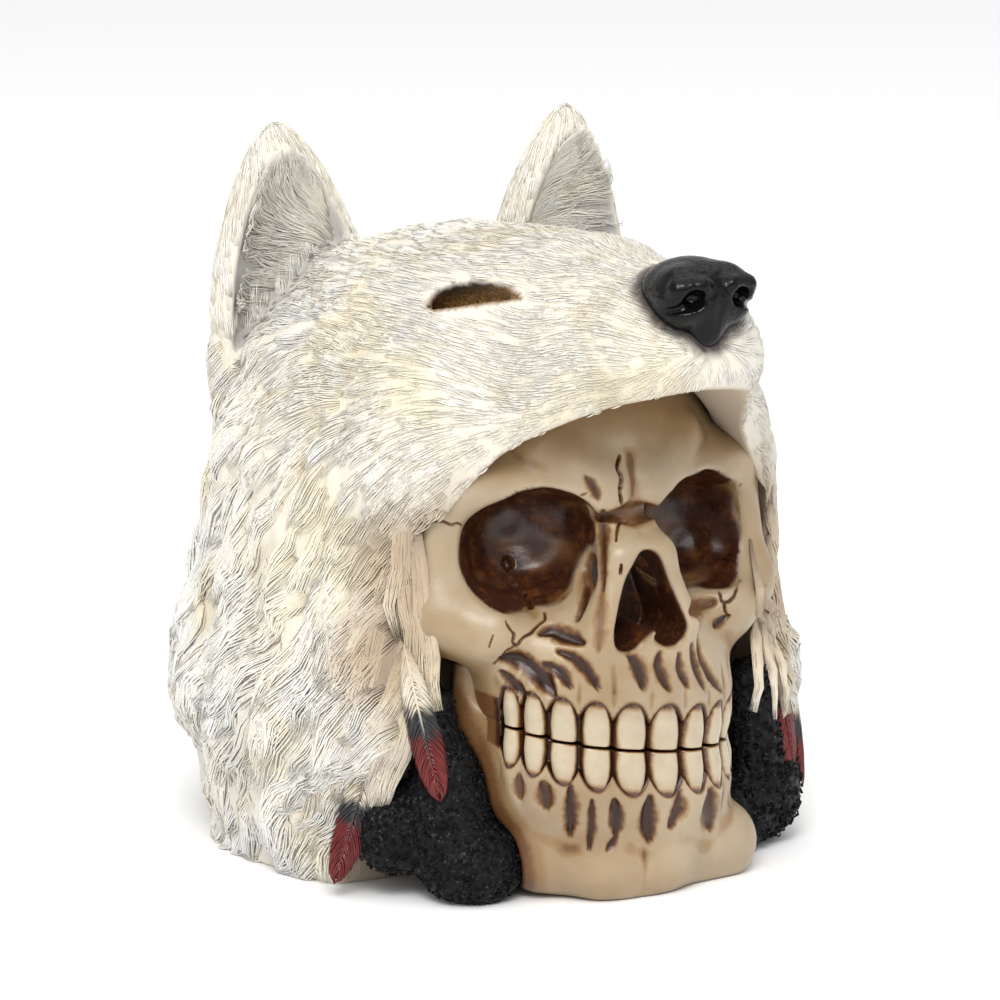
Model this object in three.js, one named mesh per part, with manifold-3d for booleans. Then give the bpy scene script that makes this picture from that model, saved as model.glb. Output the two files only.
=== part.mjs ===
// Wolf-hood skull: a cast ornament of a human skull that wears a white wolf pelt as a hood.
// Millimetres, +Z up. The face looks along -Y, and the origin is on the ground under the middle of the base.
import * as THREE from "three";
import { mergeVertices } from "three/addons/utils/BufferGeometryUtils.js";
import Module from "manifold-3d";

const wasm = await Module();
wasm.setup();

// Driving dimensions of the whole ornament.
const earTipHeight = 163; // ground to ear tips
const bitePlane = 35.2; // height of the closed bite
const seam = 0.35; // gap kept between pieces that touch
const cheekReach = 44; // half width over the cheekbones
const hoodTop = 141; // height of the brow of the wolf
const noseReach = 94; // how far the wolf's nose stands in front of the origin

// Distance fields: negative inside. Points are [x, y, z].
const length3 = (x, y, z) => Math.sqrt(x * x + y * y + z * z);

function ellipsoid(p, c, r) {
  const x = (p[0] - c[0]) / r[0];
  const y = (p[1] - c[1]) / r[1];
  const z = (p[2] - c[2]) / r[2];
  const near = length3(x, y, z);
  const slope = length3(x / r[0], y / r[1], z / r[2]);
  return slope > 0 ? (near * (near - 1)) / slope : -Math.min(...r);
}

// A rod with a radius at each end.
function rod(p, a, b, ra, rb) {
  const d = [b[0] - a[0], b[1] - a[1], b[2] - a[2]];
  const q = [p[0] - a[0], p[1] - a[1], p[2] - a[2]];
  const along = (q[0] * d[0] + q[1] * d[1] + q[2] * d[2]) / (d[0] * d[0] + d[1] * d[1] + d[2] * d[2]);
  const t = Math.min(1, Math.max(0, along));
  return length3(q[0] - d[0] * t, q[1] - d[1] * t, q[2] - d[2] * t) - (ra + (rb - ra) * t);
}

// Joins two distances with a fillet of about the given width.
function fuse(a, b, width) {
  const h = Math.max(width - Math.abs(a - b), 0) / width;
  return Math.min(a, b) - (h * h * width) / 4;
}
const fuseAll = (width, ...parts) => parts.reduce((a, b) => fuse(a, b, width));

// Reads a value from [[place, value], ...] with smooth steps between the places.
function profile(table, at) {
  if (at <= table[0][0]) return table[0][1];
  for (let i = 1; i < table.length; i++) {
    const [from, a] = table[i - 1];
    const [to, b] = table[i];
    if (at <= to) {
      const t = (at - from) / (to - from);
      return a + (b - a) * t * t * (3 - 2 * t);
    }
  }
  return table[table.length - 1][1];
}

// The skull without its jaw: braincase, brows, nose bridge, cheekbones and upper jaw.
function craniumForm(point) {
  const p = [Math.abs(point[0]), point[1], point[2]];
  const braincase = ellipsoid(p, [0, -8, 91], [41, 47.5, 38]);
  const brow = rod(p, [5, -52.5, 88], [33, -44.5, 92], 6.5, 6);
  const sideRim = rod(p, [38, -41, 88], [38, -42, 66], 4.5, 6.5);
  const cheek = rod(p, [37.5, -41, 62], [30, -50, 60.5], cheekReach - 35.5, 7.5);
  const temple = ellipsoid(p, [24, -26, 74], [16, 22, 20]);
  const bridge = rod(p, [0, -52, 88], [0, -60.5, 80.5], 5, 4.6);
  const noseSide = rod(p, [5, -54, 84], [12.5, -58, 62], 4.5, 4.2);
  const upperJaw = ellipsoid(p, [0, -45, 54], [26, 20.5, 17]);
  const gums = ellipsoid(p, [0, -43.5, 42], [27.5, 21, 14]);
  const face = fuseAll(7, brow, sideRim, cheek, upperJaw, noseSide);
  return fuse(fuse(fuseAll(8, braincase, temple, face), gums, 5), bridge, 4);
}

// The jaw: a broad chin, the body on both sides and two branches that rise behind the teeth.
function jawForm(point) {
  const p = [Math.abs(point[0]), point[1], point[2]];
  const gums = ellipsoid(p, [0, -43, 28], [28, 21.5, 13]);
  const body = ellipsoid(p, [0, -38, 15], [32, 25, 16]);
  const corner = point[0] < 0 ? [24, -48.5, 11] : [26.5, -50.5, 7]; // the right corner of the chin is lifted
  const chin = rod(p, [0, -55.5, 6], corner, 8.5, 9.8);
  const branch = rod(p, [33, -41, 12], [33.5, -40, 50], 7, 4.5);
  return fuseAll(6, gums, body, chin, branch);
}

// The pelt as one closed mass, before the face is opened: crown, cheeks, muzzle and drape.
const drapeWidth = [[0, 60], [14, 63], [34, 69], [62, 65], [90, 60], [112, 50], [128, 34]];
const drapeDepth = [[0, 65], [34, 75], [90, 63], [112, 52], [128, 36]];
function peltForm(p) {
  const x = Math.abs(p[0]);
  const width = profile(drapeWidth, p[2]);
  const depth = profile(drapeDepth, p[2]);
  const round = length3(x / width, (p[1] - 8) / depth, 0) - 1;
  const drape = Math.max(round * Math.min(width, depth), p[2] - 128);
  const crown = ellipsoid([x, p[1], p[2]], [0, 12, 101], [50, 50, 38.5]);
  const brow = ellipsoid([x, p[1], p[2]], [0, -22, 112], [36, 36, hoodTop - 112]);
  const muzzle = rod([x, p[1], p[2]], [0, -46, 119], [0, 19 - noseReach, 127], 25, 15.5);
  const upperLip = rod([x, p[1], p[2]], [6, -60, 119], [4, 17 - noseReach, 123], 17, 11.5);
  const cheek = ellipsoid([x, p[1], p[2]], [30, -27, 92], [20.5, 24, 30]);
  const lip = rod([x, p[1], p[2]], [26, -48, 104], [11, -78, 121], 9, 8);
  return fuse(fuseAll(16, drape, crown, brow), fuseAll(8, muzzle, upperLip, lip, cheek), 12);
}

// Turns a three.js geometry into a solid for joining and cutting.
function solidOf(geometry) {
  const bare = geometry.index ? geometry.toNonIndexed() : geometry.clone();
  bare.deleteAttribute("normal");
  bare.deleteAttribute("uv");
  const merged = mergeVertices(bare, 1e-3);
  return new wasm.Manifold(
    new wasm.Mesh({
      numProp: 3,
      vertProperties: merged.attributes.position.array,
      triVerts: new Uint32Array(merged.index.array),
    }),
  );
}

// The largest body of a solid, without crumbs or sealed bubbles.
function largest(solid) {
  return solid.decompose().sort((a, b) => b.volume() - a.volume())[0];
}

// Turns a solid back into a geometry.
function geometryOf(solid) {
  const mesh = solid.getMesh();
  const stride = mesh.numProp;
  const points = new Float32Array(mesh.numVert * 3);
  for (let i = 0; i < mesh.numVert; i++) {
    points.set(mesh.vertProperties.subarray(i * stride, i * stride + 3), i * 3);
  }
  const geometry = new THREE.BufferGeometry();
  geometry.setAttribute("position", new THREE.BufferAttribute(points, 3));
  geometry.setIndex(new THREE.BufferAttribute(mesh.triVerts, 1));
  return geometry.toNonIndexed();
}

// Shrinks a ball of triangles on to a form, along the rays from a centre inside it.
// A forward lean sends more of the rays, and so more of the triangles, to the face.
function wrap(form, centre, detail, grow = 0, lean = 0) {
  const farOut = 150;
  const step = 1.5;
  const ball = new THREE.IcosahedronGeometry(1, detail);
  const points = ball.getAttribute("position");
  const ray = new THREE.Vector3();
  for (let i = 0; i < points.count; i++) {
    ray.fromBufferAttribute(points, i).normalize();
    ray.y -= lean;
    ray.normalize();
    const inside = (t) => form([centre[0] + ray.x * t, centre[1] + ray.y * t, centre[2] + ray.z * t]) < grow;
    let outer = farOut;
    while (outer > step && !inside(outer - step)) outer -= step;
    let inner = outer - step;
    for (let k = 0; k < 14; k++) {
      const middle = (inner + outer) / 2;
      if (inside(middle)) inner = middle;
      else outer = middle;
    }
    points.setXYZ(i, centre[0] + ray.x * inner, centre[1] + ray.y * inner, centre[2] + ray.z * inner);
  }
  return solidOf(ball);
}

// Applies a function to every vertex of a geometry.
function bend(geometry, move) {
  const points = geometry.getAttribute("position");
  const v = new THREE.Vector3();
  for (let i = 0; i < points.count; i++) {
    move(v.fromBufferAttribute(points, i));
    points.setXYZ(i, v.x, v.y, v.z);
  }
  return geometry;
}

function egg(centre, radii, across = 12, down = 8) {
  const geometry = new THREE.SphereGeometry(1, across, down);
  geometry.scale(...radii);
  geometry.translate(...centre);
  return solidOf(geometry);
}

function block(low, high) {
  const size = high.map((v, i) => v - low[i]);
  const geometry = new THREE.BoxGeometry(...size);
  geometry.translate(...low.map((v, i) => v + size[i] / 2));
  return solidOf(geometry);
}

// A closed outline in X and Z, extruded along Y between two depths.
function slab(outline, yFront, yBack) {
  const shape = new THREE.Shape(outline.map(([x, z]) => new THREE.Vector2(x, z)));
  const geometry = new THREE.ExtrudeGeometry(shape, { depth: yBack - yFront, bevelEnabled: false });
  geometry.rotateX(Math.PI / 2);
  geometry.translate(0, yBack, 0);
  return solidOf(geometry);
}
const bothSides = (half) => [...half, ...half.map(([x, z]) => [-x, z]).reverse()];

// Teeth stand in a row along the arch of the jaw. Widths run from the middle to the side.
const toothWidths = [8.3, 7.2, 6.6, 5.6, 4.8, 4.2];
const arch = { front: -65.2, halfWidth: 28.5, depth: 26 };
function archPoint(angle) {
  const flat = 0.8; // under 1 squares the arch off at the front
  const sin = Math.sin(angle);
  const cos = Math.cos(angle);
  const x = arch.halfWidth * Math.sign(sin) * Math.abs(sin) ** flat;
  return [x, arch.front + arch.depth * (1 - cos ** flat)];
}

// A row of teeth from the bite, rising (1) or hanging (-1), as one solid that runs past the bite plane.
function teeth(rise, depth) {
  const thick = 2.8;
  const gap = 0.3;
  let row = null;
  for (const side of [-1, 1]) {
    let angle = 0;
    for (const width of toothWidths) {
      const [x0, y0] = archPoint(angle);
      let [x1, y1] = [x0, y0];
      while (Math.hypot(x1 - x0, y1 - y0) < width) {
        angle += 0.005;
        [x1, y1] = archPoint(angle);
      }
      const height = depth * (0.7 + (0.3 * width) / toothWidths[0]);
      const crown = new THREE.SphereGeometry(1, 6, 4).rotateX(Math.PI / 2);
      crown.scale((width - gap) / 2, thick, height * 0.72);
      crown.rotateZ(side * Math.atan2(y1 - y0, x1 - x0));
      crown.translate((side * (x0 + x1)) / 2, (y0 + y1) / 2, bitePlane + rise * height * 0.28);
      const tooth = solidOf(crown);
      row = row ? row.add(tooth) : tooth;
    }
  }
  return row;
}

const faceCentre = [0, -34, 66];
const jawCentre = [0, -44, 20];
const skullDetail = 6;
const jawDetail = 5;
const faceLean = 0.5;

// Cranium: the face is carved into the wrapped form, and the upper teeth are fused to it.
const socket = { x: 20.8, y: -52, z: 78.3, radii: [15.4, 16, 13.4] };
const noseHole = [[0, 78.5], [3.2, 77.5], [5.4, 72], [8.2, 64.5], [8.4, 60.5], [5.2, 57.8], [1.6, 59.5], [0, 62.2]];

function makeCranium() {
  const above = block([-60, -90, bitePlane + seam / 2], [60, 60, 130]);
  let solid = wrap(craniumForm, faceCentre, skullDetail, 0, faceLean).add(teeth(1, 9.6)).intersect(above);
  for (const side of [-1, 1]) {
    solid = solid.subtract(egg([side * socket.x, socket.y, socket.z], socket.radii, 12, 7));
  }
  return solid.subtract(slab(bothSides(noseHole), -90, -52));
}

function makeMandible() {
  const below = block([-60, -90, 0], [60, 20, bitePlane - seam / 2]);
  const tongueRoom = egg([0, -22, 12], [22, 28, 30], 10, 6);
  let room = below;
  for (const side of [-1, 1]) room = room.add(block([side * 44.5 - 15.5, -52, 0], [side * 44.5 + 15.5, 20, 50.5]));
  const bone = wrap(jawForm, jawCentre, jawDetail, 0, faceLean).intersect(room);
  return bone.add(teeth(-1, 9.2).intersect(below)).subtract(tongueRoom);
}

// An ear: a tall shell, hollow in front, with a rounded rim.
const ear = { x: 33.5, y: 36, z: 112, halfWidth: 20, thick: 12, wall: 3.5, turn: 0.15, lean: 0.09 };
function makeEar(side) {
  const tall = earTipHeight - ear.z;
  const shape = (wall, forward) => {
    const geometry = new THREE.SphereGeometry(1, 12, 8).rotateX(Math.PI / 2);
    bend(geometry, (v) => {
      const taper = v.z > 0 ? 1 - 0.3 * v.z ** 2 : 1;
      v.x *= (ear.halfWidth - wall) * taper;
      v.y = v.y * ear.thick * taper - forward;
      v.z *= tall - wall;
    });
    geometry.rotateY(side * ear.lean);
    geometry.rotateZ(side * ear.turn);
    geometry.translate(side * ear.x, ear.y, ear.z);
    return solidOf(geometry);
  };
  return { shell: shape(0, 0), bowl: shape(ear.wall, 8.5) };
}

// One lock of fur: a tongue from root to tip, rounded outside and rooted deep in the pelt inside.
function lock(root, tip, out, width) {
  const proud = 5;
  const deep = 15;
  const down = new THREE.Vector3(...tip).sub(new THREE.Vector3(...root));
  const reach = down.length();
  const geometry = new THREE.SphereGeometry(1, 5, 3).rotateX(Math.PI / 2);
  bend(geometry, (v) => {
    const along = (1 - v.z) / 2; // 0 at the root, 1 at the tip
    v.set(-v.x * width * (1.15 - 0.5 * along), v.y * (v.y > 0 ? proud : deep), along * reach);
  });
  const z = down.normalize();
  const y = new THREE.Vector3(...out).normalize();
  const x = new THREE.Vector3().crossVectors(y, z).normalize();
  y.crossVectors(z, x);
  geometry.applyMatrix4(new THREE.Matrix4().makeBasis(x, y, z).setPosition(...root));
  return solidOf(geometry);
}

// Repeatable scatter between -1 and 1.
function scatter(seed) {
  const s = Math.sin(seed * 12.9898) * 43758.5453;
  return 2 * (s - Math.floor(s)) - 1;
}

// Rows of locks hang round the drape. Each starts in the pelt and lifts off it at the tip.
const lockRows = [
  { top: 110, drop: 34, count: 7 },
  { top: 84, drop: 36, count: 9 },
  { top: 58, drop: 36, count: 10 },
  { top: 34, drop: 36, count: 10 },
];
function makeLocks() {
  let all = null;
  let seed = 1;
  for (const { top, drop, count } of lockRows) {
    for (let i = 0; i < count; i++) {
      seed += 1;
      const open = profile([[0, 0.95], [60, 0.75], [110, 0.9]], top); // half angle of the face opening
      const turn = open + ((i + 0.5 + 0.25 * scatter(seed)) / count) * (2 * Math.PI - 2 * open);
      const out = [Math.sin(turn), -Math.cos(turn), 0.1];
      const zTop = top + 5 * scatter(seed + 0.3);
      const zTip = zTop - drop + 4 * scatter(seed + 0.6);
      const reachAt = (z, lift) => [
        out[0] * (profile(drapeWidth, z) + lift),
        8 + out[1] * (profile(drapeDepth, z) + lift),
        z,
      ];
      const width = 10.5 + 1.5 * scatter(seed + 0.9);
      const piece = lock(reachAt(zTop, -1.5), reachAt(zTip, 1), out, width);
      all = all ? all.add(piece) : piece;
    }
  }
  return all;
}

// Locks that hang beside the face, from the cheek of the wolf down to the feathers: [root, tip, half width].
const faceLocks = [
  [[44, -37, 86], [46, -41, 44], 6],
  [[50, -29, 76], [53, -34, 36], 7],
  [[50, -32, 42], [56, -31, 10], 6],
];
function makeFaceLocks() {
  let all = null;
  for (const side of [-1, 1]) {
    for (const [root, tip, width] of faceLocks) {
      const mirrored = ([x, y, z]) => [side * x, y, z];
      const piece = lock(mirrored(root), mirrored(tip), [side * 0.6, -0.8, 0], width);
      all = all ? all.add(piece) : piece;
    }
  }
  return all;
}

// A feather hangs by its root: a leaf with a ridge along the quill and a pointed tip.
const feathers = {
  feather_right_front: { root: [-49, -45.5, 59], tip: [-42.5, -50, 24.5], out: [-0.5, -0.85, 0] },
  feather_right_back: { root: [-47, -37, 46], tip: [-59, -32, 4], out: [-0.7, -0.7, 0] },
  feather_left_front: { root: [44, -43, 52], tip: [54, -39, 18], out: [0.5, -0.85, 0] },
  feather_left_back: { root: [56, -32, 44], tip: [63, -29.5, 11], out: [0.8, -0.6, 0] },
};
function makeFeather({ root, tip, out }, grow = 0) {
  const start = new THREE.Vector3(...root);
  const z = new THREE.Vector3(...tip).sub(start);
  const reach = z.length() / 2;
  z.normalize();
  const x = new THREE.Vector3(...out).cross(z).normalize();
  const y = new THREE.Vector3().crossVectors(z, x);
  const geometry = new THREE.SphereGeometry(1, 6, 7).rotateX(Math.PI / 2);
  bend(geometry, (v) => {
    const full = 1 + 0.25 * v.z; // widest towards the tip
    v.set(v.x * (4.6 * full + grow), v.y * (1.6 + grow), v.z * (reach + grow));
  });
  geometry.applyMatrix4(new THREE.Matrix4().makeBasis(x, y, z).setPosition(start.addScaledVector(z, reach)));
  return solidOf(geometry);
}

// Black curly tufts stand on the ground beside the jaw, under the feathers.
function tuftRightForm(p) {
  const foot = ellipsoid(p, [-30, -46, 8], [12, 9, 9]);
  const side = ellipsoid(p, [-44, -35, 15], [11, 9, 10]);
  const strip = rod(p, [-37.5, -43, 46], [-37, -43, 18], 4, 8);
  return fuseAll(5, foot, side, strip) + curl(p);
}
function tuftLeftForm(p) {
  const foot = ellipsoid(p, [49, -32, 11], [10.5, 9, 11.5]);
  const side = ellipsoid(p, [39, -37, 8], [9, 8, 9]);
  const strip = rod(p, [41, -41, 40], [47, -35, 16], 5, 8);
  return fuseAll(5, foot, side, strip) + curl(p);
}
// The lumps of the curls.
const curl = ([x, y, z]) => 0.7 * Math.sin(x * 1.1) * Math.sin(y * 1.2 + z * 0.4) * Math.sin(z * 0.9);

// The nose pad: broad on top, narrowing down to the lip, with two nostrils.
const noseCentre = [0, 10.5 - noseReach, 137];
function noseForm([x, y, z]) {
  const p = [Math.abs(x), y, z];
  const [, front, height] = noseCentre;
  const pad = ellipsoid(p, [0, front, height], [11.5, 12, 7.8]);
  const wing = ellipsoid(p, [6, front - 5, height], [5.5, 6, 6.5]);
  const point = ellipsoid(p, [0, front - 3, height - 5.5], [5, 7, 6.5]);
  return fuseAll(2.5, pad, wing, point);
}
function makeNose() {
  let solid = wrap(noseForm, noseCentre, 3);
  for (const side of [-1, 1]) {
    solid = solid.subtract(egg([side * 5.6, noseCentre[1] - 11.5, noseCentre[2] + 0.5], [2.7, 3.5, 3], 8, 6));
  }
  return solid;
}

// The wolf's closed eyes are slits in the pelt, nearly along the muzzle.
function eyeSlit(side) {
  const geometry = new THREE.SphereGeometry(1, 8, 6).scale(5, 16.5, 3.4);
  geometry.rotateX(-0.22);
  geometry.rotateZ(side * -0.19);
  geometry.translate(side * 26, -34.5, 129.5);
  return solidOf(geometry);
}

// The opening that shows the face: an arch under the wolf's lip and straight sides beside the jaw.
const lipArch = [[46, 52], [44.5, 63], [43.5, 80], [38, 88.7], [30, 100], [22, 108], [13, 113.5], [0, 114.5]];
const jawBay = [[56, -1], [52, 20], [46, 40], [45, 53]];
const archBack = -41;
const bayBack = -22;
const peltCentre = [0, -6, 88];

function makePelt(nested) {
  const ground = block([-120, -120, 0], [120, 120, 200]);
  const mass = wrap(peltForm, peltCentre, 8, 0, 0.2);
  let solid = mass;
  for (const { shell, bowl } of [-1, 1].map(makeEar)) {
    solid = solid.add(shell).subtract(bowl.subtract(mass));
  }
  for (const side of [-1, 1]) solid = solid.subtract(eyeSlit(side));
  solid = solid.add(makeLocks()).add(makeFaceLocks()).intersect(ground);
  solid = solid.subtract(slab(bothSides(lipArch), -130, archBack));
  solid = solid.subtract(slab(bothSides(jawBay), -130, bayBack));
  for (const piece of nested) solid = solid.subtract(piece);
  return solid;
}

const scene = new THREE.Group();
function addPiece(name, solid, color, roughness) {
  const material = new THREE.MeshStandardMaterial({ color, roughness, metalness: 0 });
  const mesh = new THREE.Mesh(geometryOf(largest(solid)), material);
  mesh.name = name;
  scene.add(mesh);
}

const facePart = block([-60, -90, 0], [60, -6, 130]);
const skullRoom = wrap(craniumForm, faceCentre, skullDetail, 0.6, faceLean)
  .intersect(facePart)
  .add(egg([0, -8, 91], [45.5, 51.5, 43], 12, 8));
const jawRoom = wrap(jawForm, jawCentre, jawDetail, 0.6, faceLean);
const noseRoom = wrap(noseForm, noseCentre, 3, seam);
const featherRoom = Object.values(feathers).map((feather) => makeFeather(feather, 2 * seam));
const makeTuft = (form, centre, grow) => {
  let solid = wrap(form, centre, 3, grow).intersect(block([-90, -90, 0], [90, 0, 60]));
  for (const piece of [skullRoom, jawRoom, ...featherRoom]) solid = solid.subtract(piece);
  return solid;
};
const tufts = {
  black_tuft_right: [tuftRightForm, [-39, -40, 18]],
  black_tuft_left: [tuftLeftForm, [46, -36, 16]],
};
const tuftRoom = Object.values(tufts).map(([form, centre]) => makeTuft(form, centre, 3 * seam));

addPiece("cranium", makeCranium(), 0xd8c49c, 0.45);
addPiece("mandible", makeMandible(), 0xd8c49c, 0.45);
addPiece("wolf_pelt", makePelt([skullRoom, jawRoom, noseRoom, ...featherRoom, ...tuftRoom]), 0xe9e4d4, 0.7);
addPiece("wolf_nose", makeNose(), 0x141414, 0.12);
for (const [name, [form, centre]] of Object.entries(tufts)) {
  addPiece(name, makeTuft(form, centre, 0), 0x0f0f10, 0.55);
}
for (const [name, feather] of Object.entries(feathers)) {
  addPiece(name, makeFeather(feather), 0x5a1414, 0.5);
}
export default scene;
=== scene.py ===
# A cast skull ornament in a wolf-head pelt hood, dressed for the render.
# Shapes are worked out in millimetres and stored in metres. The face looks along -Y, +Z is up.
import bpy
import bmesh
import math
import numpy as np
from mathutils import Matrix, Vector


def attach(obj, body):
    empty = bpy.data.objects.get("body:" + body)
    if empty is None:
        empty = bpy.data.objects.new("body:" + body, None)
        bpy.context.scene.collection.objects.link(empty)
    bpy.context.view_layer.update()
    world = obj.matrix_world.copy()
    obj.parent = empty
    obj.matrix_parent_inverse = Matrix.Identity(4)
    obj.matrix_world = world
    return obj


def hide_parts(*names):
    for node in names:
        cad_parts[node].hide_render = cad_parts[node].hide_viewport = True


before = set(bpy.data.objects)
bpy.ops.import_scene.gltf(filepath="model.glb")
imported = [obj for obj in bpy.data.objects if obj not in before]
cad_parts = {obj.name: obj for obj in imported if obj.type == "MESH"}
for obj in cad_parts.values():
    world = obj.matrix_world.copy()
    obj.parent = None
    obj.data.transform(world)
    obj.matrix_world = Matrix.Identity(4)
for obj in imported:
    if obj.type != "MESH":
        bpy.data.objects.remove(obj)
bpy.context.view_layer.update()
mm = 0.001

# the camera that the photograph was matched with
camera = {"azimuth": -29, "elevation": 11, "distance": 1181.8, "aim": (0, 0, 78.3),
          "lens": 187.2, "sensor": 36.0}
turn, rise = math.radians(camera["azimuth"]), math.radians(camera["elevation"])
viewBack = np.array([math.sin(turn) * math.cos(rise), -math.cos(turn) * math.cos(rise), math.sin(rise)])
viewRight = np.array([math.cos(turn), math.sin(turn), 0.0])
viewUp = np.cross(viewBack, viewRight)
viewFrom = np.array(camera["aim"]) + viewBack * camera["distance"]


def photoRays(pixels):  # directions through places read off the 1000 x 1000 photograph
    px = np.array(pixels, float)
    scale = camera["sensor"] / camera["lens"] / 1000
    rays = viewRight * (px[:, :1] - 500) * scale + viewUp * (500 - px[:, 1:2]) * scale - viewBack
    return rays / np.linalg.norm(rays, axis=1)[:, None]


def hitForm(form, pixels, near=1040.0):  # walks down each ray until it meets the form
    rays = photoRays(pixels)
    t = np.full(len(rays), near)
    for _ in range(90):
        t += np.clip(form(viewFrom + rays * t[:, None]) * 0.7, -2, 6)
    return viewFrom + rays * t[:, None]


# distance forms, negative inside; p is a list of points
def ellipsoid(p, c, r):
    q = (p - np.array(c)) / np.array(r)
    near = np.linalg.norm(q, axis=1)
    return near * (near - 1) / np.maximum(np.linalg.norm(q / np.array(r), axis=1), 1e-9)


def rod(p, a, b, ra, rb):
    a, b = np.array(a, float), np.array(b, float)
    d = b - a
    t = np.clip((p - a) @ d / (d @ d), 0, 1)
    return np.linalg.norm(p - a - t[:, None] * d, axis=1) - (ra + (rb - ra) * t)


def fuse(a, b, width):
    h = np.maximum(width - np.abs(a - b), 0) / width
    return np.minimum(a, b) - h * h * width / 4


def fuseAll(width, *parts):
    whole = parts[0]
    for part in parts[1:]:
        whole = fuse(whole, part, width)
    return whole


def carve(a, b, width):  # takes b out of a, with a rounded edge
    return -fuse(-a, b, width)


def overlap(a, b, width):
    return -fuse(-a, -b, width)


def mirrored(p):
    return np.column_stack((np.abs(p[:, 0]), p[:, 1], p[:, 2]))


def smoothStep(low, high, v):
    t = np.clip((v - low) / (high - low), 0, 1)
    return t * t * (3 - 2 * t)


def profile(table, at):  # smooth steps between [place, value] pairs
    value = np.full(len(at), float(table[0][1]))
    for (a, va), (b, vb) in zip(table, table[1:]):
        value = np.where(at > a, va + (vb - va) * smoothStep(a, b, at), value)
    return value


def softLoop(points, per=5, closed=True):  # a smooth curve through the points
    q = np.array(points, float)
    n = len(q)
    out = []
    for i in range(n if closed else n - 1):
        pick = [(i + k) % n if closed else min(max(i + k, 0), n - 1) for k in (-1, 0, 1, 2)]
        a, b, c, d = q[pick]
        for t in np.arange(per) / per:
            curve = 2 * b + (c - a) * t + (2 * a - 5 * b + 4 * c - d) * t ** 2
            out.append(0.5 * (curve + (3 * b - a - 3 * c + d) * t ** 3))
    return np.array(out if closed else out + [q[-1]])


def outlineDistance(u, v, loop):  # signed distance to a closed flat outline, negative inside
    best = np.full(len(u), 1e9)
    inside = np.zeros(len(u), bool)
    for (ax, ay), (bx, by) in zip(loop, np.roll(loop, -1, 0)):
        dx, dy = bx - ax, by - ay
        t = np.clip(((u - ax) * dx + (v - ay) * dy) / (dx * dx + dy * dy + 1e-12), 0, 1)
        best = np.minimum(best, (u - ax - t * dx) ** 2 + (v - ay - t * dy) ** 2)
        cross = (ay > v) != (by > v)
        inside ^= cross & (u < ax + (v - ay) * dx / (dy if abs(dy) > 1e-9 else 1e-9))
    return np.where(inside, -1, 1) * np.sqrt(best)


def outlineField(loop, margin=14.0, step=0.4):  # the same distance from a table, which is quicker
    low = loop.min(0) - margin
    size = np.ceil((loop.max(0) + margin - low) / step).astype(int) + 2
    u, v = np.meshgrid(*(low[k] + step * np.arange(size[k]) for k in (0, 1)), indexing="ij")
    table = outlineDistance(u.ravel(), v.ravel(), loop).reshape(size)

    def field(u, v):
        a = np.clip((u - low[0]) / step, 0, size[0] - 1.001)
        b = np.clip((v - low[1]) / step, 0, size[1] - 1.001)
        i, j = a.astype(int), b.astype(int)
        a, b = a - i, b - j
        near = table[i, j] * (1 - a) + table[i + 1, j] * a
        far = table[i, j + 1] * (1 - a) + table[i + 1, j + 1] * a
        return near * (1 - b) + far * b

    return field


def lineDistance(p, line):  # distance to a polyline, and how far along it the nearest place is
    best = np.full(len(p), 1e9)
    along = np.zeros(len(p))
    reach = np.concatenate(([0], np.cumsum(np.linalg.norm(np.diff(line, axis=0), axis=1))))
    for i, (a, b) in enumerate(zip(line, line[1:])):
        d = b - a
        t = np.clip((p - a) @ d / max(d @ d, 1e-9), 0, 1)
        dist = np.linalg.norm(p - a - t[:, None] * d, axis=1)
        closer = dist < best
        best = np.where(closer, dist, best)
        along = np.where(closer, (reach[i] + t * (reach[i + 1] - reach[i])) / reach[-1], along)
    return best, along


def lattice(ix, iy, iz, seed):  # a repeatable random value for each lattice corner
    h = ix * 374761393 + iy * 668265263 + iz * 2147483647 + seed * 974634777
    h = (h ^ (h >> 13)) * 1274126177
    return ((h ^ (h >> 16)) & 0xFFFF) / 32768.0 - 1.0


def noiseAt(p, size, seed=0):  # smooth noise from -1 to 1 with features of about that size
    q = p / size
    base = np.floor(q).astype(np.int64)
    f = q - base
    f = f * f * (3 - 2 * f)
    total = np.zeros(len(p))
    for dx in (0, 1):
        for dy in (0, 1):
            for dz in (0, 1):
                weight = (f[:, 0] if dx else 1 - f[:, 0]) * (f[:, 1] if dy else 1 - f[:, 1])
                weight = weight * (f[:, 2] if dz else 1 - f[:, 2])
                total += weight * lattice(base[:, 0] + dx, base[:, 1] + dy, base[:, 2] + dz, seed)
    return total


def gradient(form, p, f=None):
    h = 0.04
    f = form(p) if f is None else f
    return np.column_stack([(form(p + step) - f) / h for step in np.eye(3) * h])


def unit(v):
    return v / np.maximum(np.linalg.norm(v, axis=-1, keepdims=True), 1e-9)


def settle(p, form, rounds=4, most=1.2):  # moves points on to the surface of a form
    for _ in range(rounds):
        f = form(p)
        g = gradient(form, p, f)
        p = p - g * np.clip(f / np.maximum((g * g).sum(1), 0.25), -most, most)[:, None]
    return p


# mesh helpers
def getPoints(obj):
    co = np.zeros(len(obj.data.vertices) * 3)
    obj.data.vertices.foreach_get("co", co)
    return co.reshape(-1, 3)


def setPoints(obj, p):
    obj.data.vertices.foreach_set("co", p.ravel())
    obj.data.update()


def getNormals(obj):
    n = np.zeros(len(obj.data.vertices) * 3)
    obj.data.vertices.foreach_get("normal", n)
    return n.reshape(-1, 3)


def getEdges(obj):
    e = np.zeros(len(obj.data.edges) * 2, np.int32)
    obj.data.edges.foreach_get("vertices", e)
    return e.reshape(-1, 2)


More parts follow.
